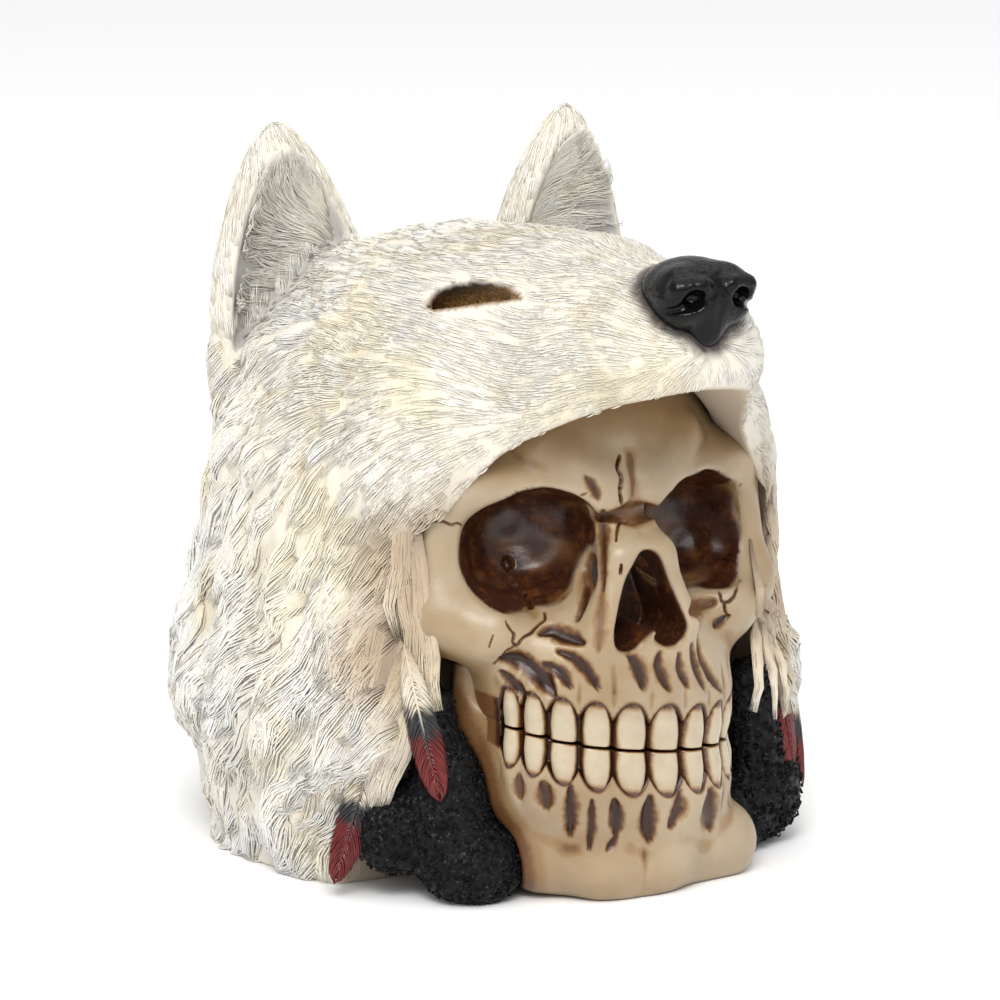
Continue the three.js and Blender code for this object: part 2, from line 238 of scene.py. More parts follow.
def neighbourMean(edges, values):
    count = np.bincount(edges.ravel(), minlength=len(values)).astype(float)
    flat = values.reshape(len(values), -1)
    total = np.column_stack([
        np.bincount(edges[:, 0], flat[edges[:, 1], k], len(values))
        + np.bincount(edges[:, 1], flat[edges[:, 0], k], len(values))
        for k in range(flat.shape[1])
    ])
    return (total / np.maximum(count, 1)[:, None]).reshape(values.shape)


def relaxOnto(obj, form, rounds, most):  # settles the mesh on a form while it evens out its faces
    edges, p = getEdges(obj), getPoints(obj)
    for _ in range(rounds):
        p = settle(p, form, 1, most)
        p = 0.4 * p + 0.6 * neighbourMean(edges, p)
    setPoints(obj, settle(p, form, 2, most))


def setAttribute(obj, name, values):
    layer = obj.data.attributes.new(name, "FLOAT", "POINT")
    layer.data.foreach_set("value", np.ascontiguousarray(values, np.float32))


def setColours(obj, name, rgba):
    layer = obj.data.attributes.new(name, "FLOAT_COLOR", "POINT")
    layer.data.foreach_set("color", np.ascontiguousarray(rgba, np.float32).ravel())


def newObject(name, data):
    obj = bpy.data.objects.new(name, data)
    bpy.context.scene.collection.objects.link(obj)
    return obj


def fromBmesh(name, bm):
    data = bpy.data.meshes.new(name)
    bm.to_mesh(data)
    bm.free()
    return newObject(name, data)


# No operator meshes a distance form, and a remeshed copy of a CAD node folds over itself where the face is
# deep. So the form is sampled on a grid, and each cell that its surface crosses gets one vertex.
def sampleForm(form, low, count, step, block):  # coarse blocks first, then every corner near the surface
    corner = np.stack(np.meshgrid(*(np.arange(n) for n in count), indexing="ij"), -1).reshape(-1, 3)
    coarse = form(low + (corner + 0.5) * block * step)
    f = np.repeat(np.repeat(np.repeat(coarse.reshape(count), block, 0), block, 1), block, 2)
    near = corner[np.abs(coarse) < 1.35 * block * step] * block
    inner = np.stack(np.meshgrid(*(np.arange(block),) * 3, indexing="ij"), -1).reshape(-1, 3)
    fine = (near[:, None] + inner).reshape(-1, 3)
    parts = np.array_split(fine, 1 + len(fine) // 400000)
    f[tuple(fine.T)] = np.concatenate([form(low + part * step) for part in parts])
    return f


def meshOfForm(name, form, low, high, step, block=4):  # even faces over a form, closed where the box cuts it
    low = np.array(low, float)
    count = np.ceil((np.array(high) - low) / step / block).astype(int)
    size = tuple(count * block)
    inBox = lambda p: np.maximum(form(p), np.maximum(low + 1.5 * step - p, p - high + 1.5 * step).max(1))
    f = sampleForm(inBox, low, count, step, block)
    inside = f < 0
    shifted = lambda a, o: a[tuple(slice(k, n - 1 + k) for k, n in zip(o, size))]
    corners = np.array([(i, j, k) for i in (0, 1) for j in (0, 1) for k in (0, 1)])
    filled = sum(shifted(inside, o).astype(np.int8) for o in corners)
    cells = np.argwhere((filled > 0) & (filled < 8))
    axes = np.eye(3, dtype=int)
    valueAt = lambda o: f[tuple((cells + o).T)]
    total, hits = np.zeros(cells.shape), np.zeros(len(cells))
    for axis in range(3):
        for o in corners[corners[:, axis] == 0]:
            a, b = valueAt(o), valueAt(o + axes[axis])
            crossing = (a < 0) != (b < 0)
            t = np.where(crossing, a / np.where(crossing, a - b, 1), 0)
            total += crossing[:, None] * (o + axes[axis] * t[:, None])
            hits += crossing
    points = low + (cells + total / hits[:, None]) * step
    index = np.full(size, -1)
    index[tuple(cells.T)] = np.arange(len(cells))
    quads = []
    for axis in range(3):  # a face across every grid edge that the surface crosses
        one, two, three = (axes[(axis + k) % 3] for k in range(3))
        crossed = np.argwhere(shifted(inside, (0, 0, 0)) != shifted(inside, one))
        crossed = crossed[(crossed[:, (axis + 1) % 3] > 0) & (crossed[:, (axis + 2) % 3] > 0)]
        quad = np.stack([index[tuple((crossed - o).T)] for o in (two + three, three, 0 * one, two)], 1)
        flip = inside[tuple((crossed + one).T)]
        quads.append(np.where(flip[:, None], quad[:, ::-1], quad))
    data = bpy.data.meshes.new(name)
    data.from_pydata(points.tolist(), [], np.concatenate(quads).tolist())
    data.update()
    obj = newObject(name, data)
    relaxOnto(obj, inBox, 2, step)
    return obj


def finishPiece(obj, material, node):
    obj.data.transform(Matrix.Scale(mm, 4))
    obj.data.materials.clear()
    obj.data.materials.append(material)
    obj.data.shade_smooth()
    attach(obj, "root")
    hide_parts(node)
    return obj


# material helpers
def newMaterial(name, settings):
    mat = bpy.data.materials.new(name)
    mat.use_nodes = True
    shader = mat.node_tree.nodes["Principled BSDF"]
    for socket, value in settings.items():
        shader.inputs[socket].default_value = value
    return mat, mat.node_tree, shader


def addNode(tree, kind, values=None, **settings):
    node = tree.nodes.new("ShaderNode" + kind)
    for name, value in settings.items():
        setattr(node, name, value)
    for socket, value in (values or {}).items():
        if isinstance(value, bpy.types.NodeSocket):
            tree.links.new(value, node.inputs[socket])
        else:
            node.inputs[socket].default_value = value
    return node


def noiseNode(tree, coords, scale, detail=4.0, roughness=0.55):
    values = {"Vector": coords, "Scale": scale, "Detail": detail, "Roughness": roughness}
    return addNode(tree, "TexNoise", values).outputs["Fac"]


def rampNode(tree, fac, stops):
    node = addNode(tree, "ValToRGB", {"Fac": fac})
    ramp = node.color_ramp
    ramp.interpolation = "EASE"
    while len(ramp.elements) < len(stops):
        ramp.elements.new(0.5)
    for element, (at, colour) in zip(ramp.elements, stops):
        element.position = at
        element.color = (*colour, 1) if len(colour) == 3 else colour
    return node.outputs["Color"]


def mixNode(tree, fac, a, b, blend="MIX"):
    node = addNode(tree, "Mix", data_type="RGBA", blend_type=blend)
    for socket, value in ((0, fac), (6, a), (7, b)):
        if isinstance(value, bpy.types.NodeSocket):
            tree.links.new(value, node.inputs[socket])
        else:
            isColour = isinstance(value, tuple) and len(value) == 3
            node.inputs[socket].default_value = (*value, 1) if isColour else value
    return node.outputs[2]


def mathNode(tree, operation, a, b=0.5, clamp=False):
    return addNode(tree, "Math", {0: a, 1: b}, operation=operation, use_clamp=clamp).outputs[0]


def bumpNode(tree, shader, height, strength, distance):
    bump = addNode(tree, "Bump", {"Height": height, "Strength": strength, "Distance": distance})
    tree.links.new(bump.outputs["Normal"], shader.inputs["Normal"])


def objectCoords(tree):
    return addNode(tree, "TexCoord").outputs["Object"]


def attributeNode(tree, name):
    return addNode(tree, "Attribute", attribute_name=name)


print("frame loaded")

# bone

bone = {
    "ivory": (0.41, 0.323, 0.215),
    "shade": (0.31, 0.225, 0.135),
    "voxel": 0.6,
    "jawVoxel": 0.46,
    "backCut": -20.0,
    "socketCentre": (21.5, -52.5, 78.3),
    "socketTurn": 25.0,
    "socketDeep": 17.0,
}
# the outline of the right socket and the hole of the nose, as the photograph shows them
socketPixels = [(460, 556), (461, 536), (467, 522), (482, 509), (502, 498), (521, 489), (538, 486),
                (554, 487), (569, 491), (583, 497), (594, 506), (597, 520), (596, 545), (593, 562),
                (585, 580), (572, 596), (555, 606), (535, 610), (512, 610), (494, 606), (481, 598),
                (469, 586), (462, 571)]
noseHalf = [(0, 78.2), (2.0, 77.4), (3.8, 74.6), (5.8, 70), (7.9, 64.5), (8.9, 60.8), (7.6, 57.6),
            (4.6, 57.0), (1.9, 58.8), (0, 61.6)]
noseField = outlineField(softLoop(noseHalf + [(-x, z) for x, z in noseHalf[-2:0:-1]], 3))

socketAngle = math.radians(bone["socketTurn"])
socketAxis = np.array([math.sin(socketAngle), -math.cos(socketAngle), 0])
socketAcross = np.array([-socketAxis[1], socketAxis[0], 0])


def socketOutline():  # lays the outline on the plane of the socket's mouth, mirrored to the +X side
    centre = np.array(bone["socketCentre"]) * [-1, 1, 1]
    axis = socketAxis * [-1, 1, 1]
    rays = photoRays(socketPixels)
    t = ((centre - viewFrom) @ axis) / (rays @ axis)
    at = (viewFrom + rays * t[:, None]) * [-1, 1, 1] - np.array(bone["socketCentre"])
    return softLoop(np.column_stack((at @ socketAcross, at[:, 2])), 3)


socketField = outlineField(socketOutline())


def socketForm(m):  # m is mirrored to the +X side
    q = m - np.array(bone["socketCentre"])
    shrink = 1 + 0.012 * np.maximum(-(q @ socketAxis), 0)
    wall = socketField(q @ socketAcross * shrink, q[:, 2] * shrink)
    bowl = ellipsoid(m, np.array(bone["socketCentre"]) + socketAxis * 4, (19.5, bone["socketDeep"] + 4, 17))
    return overlap(wall, bowl, 5)


def socketPlace(p):  # mirrored, and the socket on the +X side reaches nearer to the middle
    m = mirrored(p)
    m[:, 0] += 2.8 * (p[:, 0] > 0) * (1 - smoothStep(7, 20, m[:, 0]))
    return m


def noseForm(m):
    return np.maximum(noseField(m[:, 0], m[:, 2]), m[:, 1] + 49)


arch = {"front": -65.2, "halfWidth": 28.5, "depth": 26.0, "flat": 0.8}
toothWidths = [8.3, 7.2, 6.6, 5.6, 4.8]
bite = {"z": 33.9, "tilt": -0.13, "smile": 0.00245, "gap": 0.22, "upper": 10.4, "lower": 9.6}
archAngles = np.linspace(0, math.pi / 2, 500)
archLine = np.column_stack((
    arch["halfWidth"] * np.sin(archAngles) ** arch["flat"],
    arch["front"] + arch["depth"] * (1 - np.cos(archAngles) ** arch["flat"]),
))
archLength = np.concatenate(([0], np.cumsum(np.linalg.norm(np.diff(archLine, axis=0), axis=1))))
toothEdges = np.concatenate(([0], np.cumsum(toothWidths)))


def alongArch(p):  # length along the arch from the middle, and distance outside it
    power = 2 / arch["flat"]
    u = np.maximum(np.abs(p[:, 0]) / arch["halfWidth"], 1e-4)
    v = np.maximum((arch["front"] + arch["depth"] - p[:, 1]) / arch["depth"], 1e-4)
    rho = (u ** power + v ** power) ** (1 / power)
    slope = np.hypot(u ** (power - 1) / arch["halfWidth"], v ** (power - 1) / arch["depth"])
    grade = rho ** (1 - power) * slope
    angle = np.arctan2(u ** (power / 2), v ** (power / 2))
    return np.interp(angle, archAngles, archLength), (rho - 1) / np.maximum(grade, 1e-4)


def biteHeight(x, s):  # the bite tilts to one side and rises towards the back
    return bite["z"] + bite["tilt"] * x + bite["smile"] * np.minimum(np.abs(s), 36) ** 2


def toothPlace(s):  # which tooth, and -1..1 across it
    index = np.clip(np.searchsorted(toothEdges, s, "right") - 1, 0, len(toothWidths) - 1)
    return index, 2 * (s - toothEdges[index]) / np.array(toothWidths)[index] - 1


def crownHeight(widths, tall):  # narrow teeth are shorter
    return tall * (0.68 + 0.32 * widths / toothWidths[0])


def gumEdge(index, across, tall):  # how far each crown shows before the gum starts
    height = crownHeight(np.array(toothWidths)[index], tall)
    return height, height * (0.98 - 0.42 * np.clip(np.abs(across), 0, 1) ** 2.2)


def gumStain(p, rise, tall, fade, back):  # brown where the gum meets the crowns, weaker behind the last one
    s, out = alongArch(p)
    _, edge = gumEdge(*toothPlace(s), tall)
    above = (p[:, 2] - biteHeight(p[:, 0], s)) * rise
    stain = 1 - smoothStep(0.1, fade, above - edge)
    return stain * (1 - back * smoothStep(toothEdges[-1], toothEdges[-1] + 2, s)), out


def gumBand(p, rise, tall):  # the bone that holds a row of teeth, scalloped round each crown
    s, out = alongArch(p)
    index, across = toothPlace(s)
    height, edge = gumEdge(index, across, tall)
    above = (p[:, 2] - biteHeight(p[:, 0], s)) * rise
    edge = np.where(s > toothEdges[-1], -1, edge)
    high = above / height
    root = 0.9 * (1 - np.clip(across, -1, 1) ** 2) * smoothStep(0.5, 1.1, high)
    root = root * (1 - smoothStep(1.3, 2.3, high))  # each root swells the bone over its crown
    front = 2.2 + root - 0.14 * np.maximum(above - 1.1 * tall, 0)
    lip = overlap(out - front, edge - above, 1.6)  # in front of the crowns
    behind = np.maximum(out + 0.4, 0.18 - above)  # between and behind them
    band = overlap(overlap(np.minimum(lip, behind), -7 - out, 2), p[:, 1] + 35, 3)
    return overlap(band, above - 2.2 * tall, 6)


def craniumForm(p, holes=True):
    m = mirrored(p)
    braincase = ellipsoid(m, (0, -8, 91), (41, 47.5, 38))
    forehead = ellipsoid(m, (0, -22, 98), (33, 33.5, 24))
    brow = rod(m, (9, -51.8, 89.0), (33, -44.6, 92.5), 6.4, 6.3)
    lobe = ellipsoid(m, (4.9, -54.4, 91.0), (5.3, 6.4, 5.9))
    notch = rod(m, (0, -60.0, 85.2), (8, -56.5, 86.2), 1.9, 1.6)
    sideRim = rod(m, (37.8, -40.5, 89), (38.2, -41.5, 66), 4.3, 6.3)
    cheek = rod(m, (37.5, -41, 62.5), (29.5, -49.5, 60.5), 8.3, 7.2)
    temple = ellipsoid(m, (24, -26, 74), (16, 22, 20))
    bridge = rod(m, (0, -50.5, 84.0), (0, -62.0, 76.8), 3.4, 4.4)
    noseBone = rod(m, (2.8, -52.5, 83.8), (4.8, -61.6, 76.4), 2.6, 3.5)
    noseSide = fuse(noseBone, rod(m, (4.8, -61.6, 76.4), (9.7, -64.3, 61.5), 3.5, 3.4), 1)
    upperJaw = ellipsoid(m, (0, -45.5, 55), (25.5, 21.5, 17))
    gums = ellipsoid(m, (0, -43.5, 46), (26, 21.5, 13))
    spine = rod(m, (0, -62, 58.0), (0, -68.6, 61.2), 2.8, 1.2)
    frown = rod(m, (5.4, -56.2, 90.4), (17.5, -50.2, 101), 3.4, 3.6)
    strut = rod(m, (29.5, -47, 58), (23.5, -48, 46), 5.5, 3.5)
    face = fuseAll(6, fuse(brow, sideRim, 8), cheek, upperJaw, noseSide, strut)
    head = fuse(fuseAll(8, braincase, temple, face), gums, 5)
    head = fuse(fuse(head, forehead, 8), fuse(lobe, frown, 4), 4)
    head = fuse(head, gumBand(p, 1, bite["upper"]), 4.5)
    head = fuse(fuse(head, fuse(bridge, noseBone, 3), 4.0), spine, 2.5)
    head = carve(head, notch, 1.6)
    if holes:
        head = carve(head, socketForm(socketPlace(p)), 1.5)
        head = carve(head, noseForm(m), 1.8)
    return overlap(head, biteHeight(p[:, 0], alongArch(p)[0]) + bite["gap"] / 2 - p[:, 2], 0.5)


# rods: ends and end radii; eggs: centre and radii; ring: the curls' smallest and largest radius
tufts = {
    "black_tuft_right": {
        "rods": [((-39.5, -43, 44), (-38, -43, 18), 3.5, 7.5)],
        "eggs": [((-32, -46, 8), (11.5, 10, 9.5)), ((-44, -35, 15), (11, 9, 10)),
                 ((-36, -44.5, 20), (6.5, 7, 14))],
        "grain": 1.15, "proud": 0.6, "curls": 1650, "ring": (0.26, 0.42),
    },
    "black_tuft_left": {
        "rods": [((41, -41, 40), (47, -35, 16), 5, 8)],
        "eggs": [((49, -32, 11), (10.5, 9, 11.5)), ((39, -37, 8), (9, 8, 9))],
        "grain": 1.6, "proud": 0.8, "curls": 850, "ring": (0.40, 0.70),
    },
}


def tuftForm(settings):
    def form(p):
        parts = [ellipsoid(p, *egg) for egg in settings["eggs"]] + [rod(p, *bar) for bar in settings["rods"]]
        return overlap(fuseAll(5, *parts), 0.2 - p[:, 2], 0.6)
    return form


def jawForm(p):
    m = mirrored(p)
    gums = ellipsoid(m, (0, -43, 26), (27, 21, 12))
    body = ellipsoid(m, (0, -38, 17), (29, 25, 14))
    right = rod(p, (0, -55.5, 6), (-17.5, -50.5, 9.5), 8.5, 8.8)
    left = rod(p, (0, -55.5, 6), (26.5, -50.5, 7), 8.5, 9.8)
    knob = ellipsoid(m, (7, -60, 7), (7.5, 5.5, 6.5))
    branch = rod(m, (29.5, -41.0, 12), (30.5, -40.5, 56), 5.5, 3.0)
    jaw = fuse(fuseAll(6, gums, body, fuse(right, left, 4), branch), knob, 5)
    jaw = fuse(jaw, gumBand(p, -1, bite["lower"]), 4.5)
    tongue = ellipsoid(p, (0, -22, 12), (22, 28, 30))
    jaw = carve(jaw, tongue, 2)
    for settings in tufts.values():
        jaw = carve(jaw, tuftForm(settings)(p) - 0.5, 1)
    inside = biteHeight(p[:, 0], alongArch(p)[0]) - bite["gap"] / 2 - p[:, 2]
    high = np.where(m[:, 0] > 27.5, 52 - p[:, 2], inside)  # only the branches rise above the bite
    return overlap(overlap(jaw, -high, 0.5), -p[:, 2], 0.8)


# cracks and carved lines: places in the photograph, half width and depth in mm, strength of the brown wash
faceLines = {
    "foreheadCrease": ([(620, 456), (617, 467), (621.5, 478), (620, 492), (622, 504)], 0.75, 1.0, 0.9),
    "templeCrack": ([(434, 521), (443, 521.5), (451, 525), (458, 523.5), (464, 528)], 0.45, 0.5, 0.8),
    "templeTick": ([(417, 560), (422, 566)], 0.4, 0.3, 0.7),
    "cheekCrack": ([(506, 621), (509, 628), (514, 634), (513, 642), (517, 645.5), (523, 638), (531, 633),
                    (538, 625.5), (545, 619.5), (544, 612)], 0.5, 0.6, 0.9),
    "cheekCrackEnd": ([(516, 646), (507, 651), (502, 657), (494, 664)], 0.5, 0.5, 0.8),
    "cheekTick": ([(493, 635), (489, 647)], 0.35, 0.3, 0.8),
    "browTick": ([(580, 496), (587, 493)], 0.4, 0.3, 0.7),
    "noseBoneTop": ([(616, 541), (617, 531), (619, 524), (623, 521), (629, 524), (633, 524)], 0.5, 0.6, 0.9),
    "noseSlit": ([(621.5, 565), (620.5, 574)], 0.55, 0.9, 1.0),
    "farBrow": ([(700, 474), (712, 477), (724, 479)], 0.6, 0.5, 0.8),
    "farTemple": ([(727, 488), (738, 488), (741, 484)], 0.4, 0.4, 0.8),
    "farCheekA": ([(717.5, 586), (720, 595), (722, 601.5), (729, 601.5), (734, 596), (737, 588), (741, 579)],
                  0.5, 0.6, 1.0),
    "farCheekB": ([(724, 602), (725, 611), (729, 617)], 0.5, 0.6, 1.0),
}
# inside the near socket: places, half width, depth, wash
socketLines = {
    "groove": ([(508, 570), (508, 577), (513, 585), (521, 592), (528, 600), (531, 608)], 1.3, 0.9, 1.0),
    "pit": ([(507, 560), (509, 566)], 2.4, 2.2, 1.0),
}
# leaf-shaped hollows with a wash: middle line, half width, depth, wash
faceHollows = {
    "browPit": ([(586, 477), (592, 485), (598, 499)], 1.1, 0.7, 0.75),
    "tearStrip": ([(603, 512), (602, 540), (602, 565), (602, 590)], 1.5, 0.7, 0.75),
    "tearStripLow": ([(601, 588), (600, 615), (599, 650)], 1.6, 0.4, 0.40),
    "tearFork": ([(588, 584), (584, 602), (577, 620)], 1.0, 0.9, 0.8),
    "underSocket": ([(541, 633), (552, 630), (562, 634), (572, 638), (582, 643)], 1.7, 1.5, 1.0),
    "cheekSlot": ([(503, 660), (518, 660), (531, 669), (543, 680), (553, 696)], 2.1, 1.9, 1.0),
    "cheekEdge": ([(500, 672), (512, 682), (526, 698)], 1.2, 1.2, 0.95),
    "rootSlotA": ([(543, 664), (555, 669), (565, 678), (572, 688)], 1.2, 1.2, 0.95),
    "rootSlotB": ([(558, 651), (571, 656), (583, 666), (592, 677), (599, 689)], 1.15, 1.2, 0.95),
    "rootSlotC": ([(630, 655), (637, 664), (642, 675), (645, 689)], 1.6, 1.3, 0.9),
    "rootSlotD": ([(661, 653), (659, 665), (663, 677), (670, 690)], 1.2, 1.2, 0.9),
    "rootSlotE": ([(680, 654), (681, 670), (688, 686)], 1.0, 1.0, 0.85),
    "rootSlotF": ([(692, 645), (696, 665), (706, 690)], 1.0, 1.0, 0.85),
    "rootSlotG": ([(698, 636), (702, 658), (713, 679), (723, 691)], 1.0, 1.0, 0.85),
    "farHollow": ([(693, 612), (701, 604), (712, 602)], 2.4, 1.6, 0.6),
    "farCheekFork": ([(714, 626), (722, 620), (729, 616)], 0.9, 0.8, 1.0),
}
jawHollows = {
    "slotA": ([(519, 776), (520, 798)], 1.3, 0.6, 0.65),
    "slotB": ([(543, 784), (546, 795), (546, 808)], 1.9, 0.9, 0.75),
    "slotC": ([(571, 787), (571.5, 806), (570, 836)], 1.35, 1.3, 0.95),
    "slotD": ([(592, 801), (592, 824), (589, 849)], 0.9, 1.0, 0.9),
    "slotE": ([(615, 801), (617, 820), (616, 836)], 1.4, 1.1, 0.95),
    "slotF": ([(617, 836), (613, 843), (607, 850)], 0.8, 0.8, 0.95),
    "slotG": ([(650, 799), (648, 818), (650, 841)], 1.9, 1.3, 0.95),
    "slotH": ([(681, 793), (679, 810), (671, 827)], 1.9, 1.0, 0.9),
    "slotI": ([(712, 792), (711, 811), (712, 828)], 2.6, 1.1, 0.85),
}


def leafWidth(along):
    return np.sin(math.pi * np.clip(0.06 + 0.88 * along, 0, 1)) ** 0.6


def onForm(form, pixels, closer=4):
    return hitForm(form, softLoop(pixels, closer, closed=False))


def refineNear(obj, lines, reach):  # finer faces along the thin cracks
    p = getPoints(obj)
    near = np.zeros(len(p), bool)
    for line in lines:
        near |= lineDistance(p, line)[0] < reach
    bm = bmesh.new()
    bm.from_mesh(obj.data)
    bm.verts.ensure_lookup_table()
    edges = [e for e in bm.edges if near[e.verts[0].index] and near[e.verts[1].index]]
    bmesh.ops.subdivide_edges(bm, edges=edges, cuts=1, use_grid_fill=True)
    bm.to_mesh(obj.data)
    bm.free()


def carveLines(p, normals, form, lines, brownDarkening, taper):
    move = np.zeros(len(p))
    for pixels, width, depth, strength in lines.values():
        line = onForm(form, pixels)
        low, high = line.min(0) - 4, line.max(0) + 4
        close = np.where(((p > low) & (p < high)).all(1))[0]
        dist, along = lineDistance(p[close], line)
        wide = width * (1.25 * leafWidth(along) if taper else 0.62 - 0.2 * np.abs(2 * along - 1))
        t = np.clip(dist / np.maximum(wide, 0.05), 0, 4)
        ragged = 1 + 0.3 * noiseAt(p[close], 0.9, 5)
        if taper:
            move[close] = np.maximum(move[close], depth * (1 - smoothStep(0, 1.5, t)))
            stain = strength * (1 - smoothStep(0.15, 1.5, t * ragged))
        else:
            move[close] = np.maximum(move[close], depth * np.clip(1 - t ** 2, 0, 1) ** 0.7)
            stain = 0.85 * strength * (1 - smoothStep(0.5, 2.0, t * ragged))
        brownDarkening[close] = np.maximum(brownDarkening[close], stain)
    return p - normals * move[:, None]


def cavity(obj, p, rounds):  # positive in hollows, negative on ridges
    edges, normals = getEdges(obj), getNormals(obj)
    smooth = p.copy()
    for _ in range(rounds):
        smooth = neighbourMean(edges, smooth)
    return ((smooth - p) * normals).sum(1)


def closeness(p, normals, form, reaches):  # 0 where the surface lies open, near 1 in a narrow hollow
    return np.max([1 - form(p + normals * reach) / reach for reach in reaches], axis=0)


def softened(obj, values, rounds=3):
    edges = getEdges(obj)
    for _ in range(rounds):
        values = 0.5 * values + 0.5 * neighbourMean(edges, values)
    return values


def makeBoneMaterial():
    mat, tree, shader = newMaterial("agedIvoryBone", {
        "Roughness": 0.36, "Specular IOR Level": 0.4, "Coat Weight": 0.12, "Coat Roughness": 0.25,
        "Subsurface Weight": 0.12, "Subsurface Scale": 0.004, "Subsurface Radius": (1.0, 0.55, 0.3),
    })
    coords = objectCoords(tree)
    brownDarkening = attributeNode(tree, "brownDarkening").outputs["Fac"]
    hole = attributeNode(tree, "hole").outputs["Fac"]
    cloud = noiseNode(tree, coords, 55, 3, 0.6)
    grain = noiseNode(tree, coords, 900, 5, 0.65)
    fine = noiseNode(tree, coords, 2600, 3, 0.6)
    dulled = tuple(0.86 * c for c in bone["ivory"])
    ivory = rampNode(tree, cloud, [(0.3, bone["shade"]), (0.47, dulled), (0.62, bone["ivory"])])
    soft = mixNode(tree, 0.6, bone["ivory"], ivory)
    age = rampNode(tree, noiseNode(tree, coords, 21, 4, 0.6), [(0.35, (0.80, 0.70, 0.56)), (0.62, (1, 1, 1))])
    soft = mixNode(tree, 0.8, soft, age, "MULTIPLY")
    ragged = mathNode(tree, "MULTIPLY", grain, 0.5)
    uneven = mathNode(tree, "MULTIPLY", mathNode(tree, "SUBTRACT", ragged, 0.25), brownDarkening)
    broken = mathNode(tree, "ADD", brownDarkening, uneven)
    # the brown ramp darkens the bone by an attribute that holds both the real brown wash and painted shade
    brown = rampNode(tree, broken, [(0.0, (1, 1, 1)), (0.22, (0.80, 0.68, 0.52)), (0.5, (0.40, 0.24, 0.14)),
                                    (0.8, (0.13, 0.055, 0.03)), (1.0, (0.06, 0.022, 0.014))])
    painted = mixNode(tree, 1.0, soft, brown, "MULTIPLY")
    speck = rampNode(tree, fine, [(0.0, (0.25, 0.13, 0.07)), (0.24, (0.35, 0.22, 0.13)), (0.28, (1, 1, 1))])
    flecked = mixNode(tree, 0.55, painted, mixNode(tree, 1.0, painted, speck, "MULTIPLY"))
    mottle = noiseNode(tree, coords, 260, 6, 0.7)
    deep = rampNode(tree, mottle, [(0.28, (0.012, 0.004, 0.003)), (0.5, (0.045, 0.014, 0.007)),
                                   (0.66, (0.11, 0.036, 0.010)), (0.8, (0.16, 0.065, 0.018))])
    darkest = rampNode(tree, brownDarkening, [(0.62, (0, 0, 0)), (0.8, (1, 1, 1))])
    deep = mixNode(tree, darkest, deep, (0.006, 0.002, 0.002))
    colour = mixNode(tree, hole, flecked, deep)
    tree.links.new(colour, shader.inputs["Base Color"])
    gloss = addNode(tree, "MapRange", {"Value": hole, "From Min": 0.0, "From Max": 1.0,
                                       "To Min": 0.34, "To Max": 0.17})
    tree.links.new(gloss.outputs[0], shader.inputs["Roughness"])
    pits = mathNode(tree, "MULTIPLY", mottle, hole)
    height = mathNode(tree, "ADD", mathNode(tree, "MULTIPLY", grain, 0.5), pits)
    bumpNode(tree, shader, height, 0.35, 0.0005)
    return mat


def makeCranium():
    skull = meshOfForm("skullFace", craniumForm, (-48, -75, 30), (48, bone["backCut"], 132), bone["voxel"])
    solid = lambda q: craniumForm(q, holes=False)
    refineNear(skull, [onForm(solid, pixels) for pixels, *_ in faceLines.values()], 1.3)
    p = getPoints(skull)
    front = p[:, 1] < bone["backCut"] - 2
    p[front] = settle(p[front], craniumForm, 2, 0.4)
    setPoints(skull, p)
    m = mirrored(p)
    brownDarkening, normals = np.zeros(len(p)), getNormals(skull)
    p = carveLines(p, normals, solid, faceLines, brownDarkening, False)
    p = carveLines(p, normals, solid, faceHollows, brownDarkening, True)
    p = carveLines(p, normals, craniumForm, socketLines, brownDarkening, False)
    p = p + normals * (0.5 * noiseAt(p, 4.5, 61) * (socketForm(socketPlace(p)) < 0.3))[:, None]
    setPoints(skull, p)
    # brown in the hollows and creases: partly the real brown wash, partly painted shade where the hollows lie
    # in shadow
    broad = cavity(skull, p, 14)
    tight = cavity(skull, p, 3)
    brownDarkening = np.maximum(brownDarkening, np.clip(softened(skull, broad) * 3.6, 0, 0.5))
    brownDarkening = np.maximum(brownDarkening, np.clip(softened(skull, tight) * 6.0, 0, 0.5))
    narrow = softened(skull, closeness(p, normals, craniumForm, (2.5, 6)))
    brownDarkening = np.maximum(brownDarkening, 0.62 * smoothStep(0.12, 0.95, narrow))
    # painted shade on the bone close under the hood
    hoodShade = closeness(p, normals, hoodForm, (8, 16))
    brownDarkening = np.maximum(brownDarkening, 0.2 * smoothStep(0.1, 0.9, hoodShade))
    socket, nose = socketForm(socketPlace(p)), noseForm(m)
    hole = np.maximum(1 - smoothStep(0.12, 0.5, socket), 1 - smoothStep(0.15, 0.6, nose))
    hole = np.where(p[:, 1] > bone["backCut"] - 1, 0, hole)
    stain, out = gumStain(p, 1, bite["upper"], 1.5, 0.45)
    brownDarkening = np.maximum(brownDarkening, 0.98 * (stain * (p[:, 2] < 58) * (out > -9)))
    # browner towards the top of the forehead: partly painted shade from the hood, partly an uneven brown wash
    brownDarkening = np.maximum(brownDarkening, 0.18 * smoothStep(93, 110, p[:, 2]) + 0.1 * noiseAt(p, 4, 51))
    # painted shade under the cheekbones and behind the front of the upper jaw
    under = smoothStep(-46, -37, p[:, 1]) * (1 - smoothStep(55, 60, p[:, 2]))
    brownDarkening = np.maximum(brownDarkening, 0.62 * under)
    setAttribute(skull, "brownDarkening", np.clip(brownDarkening, 0, 1))
    setAttribute(skull, "hole", hole)
    return skull


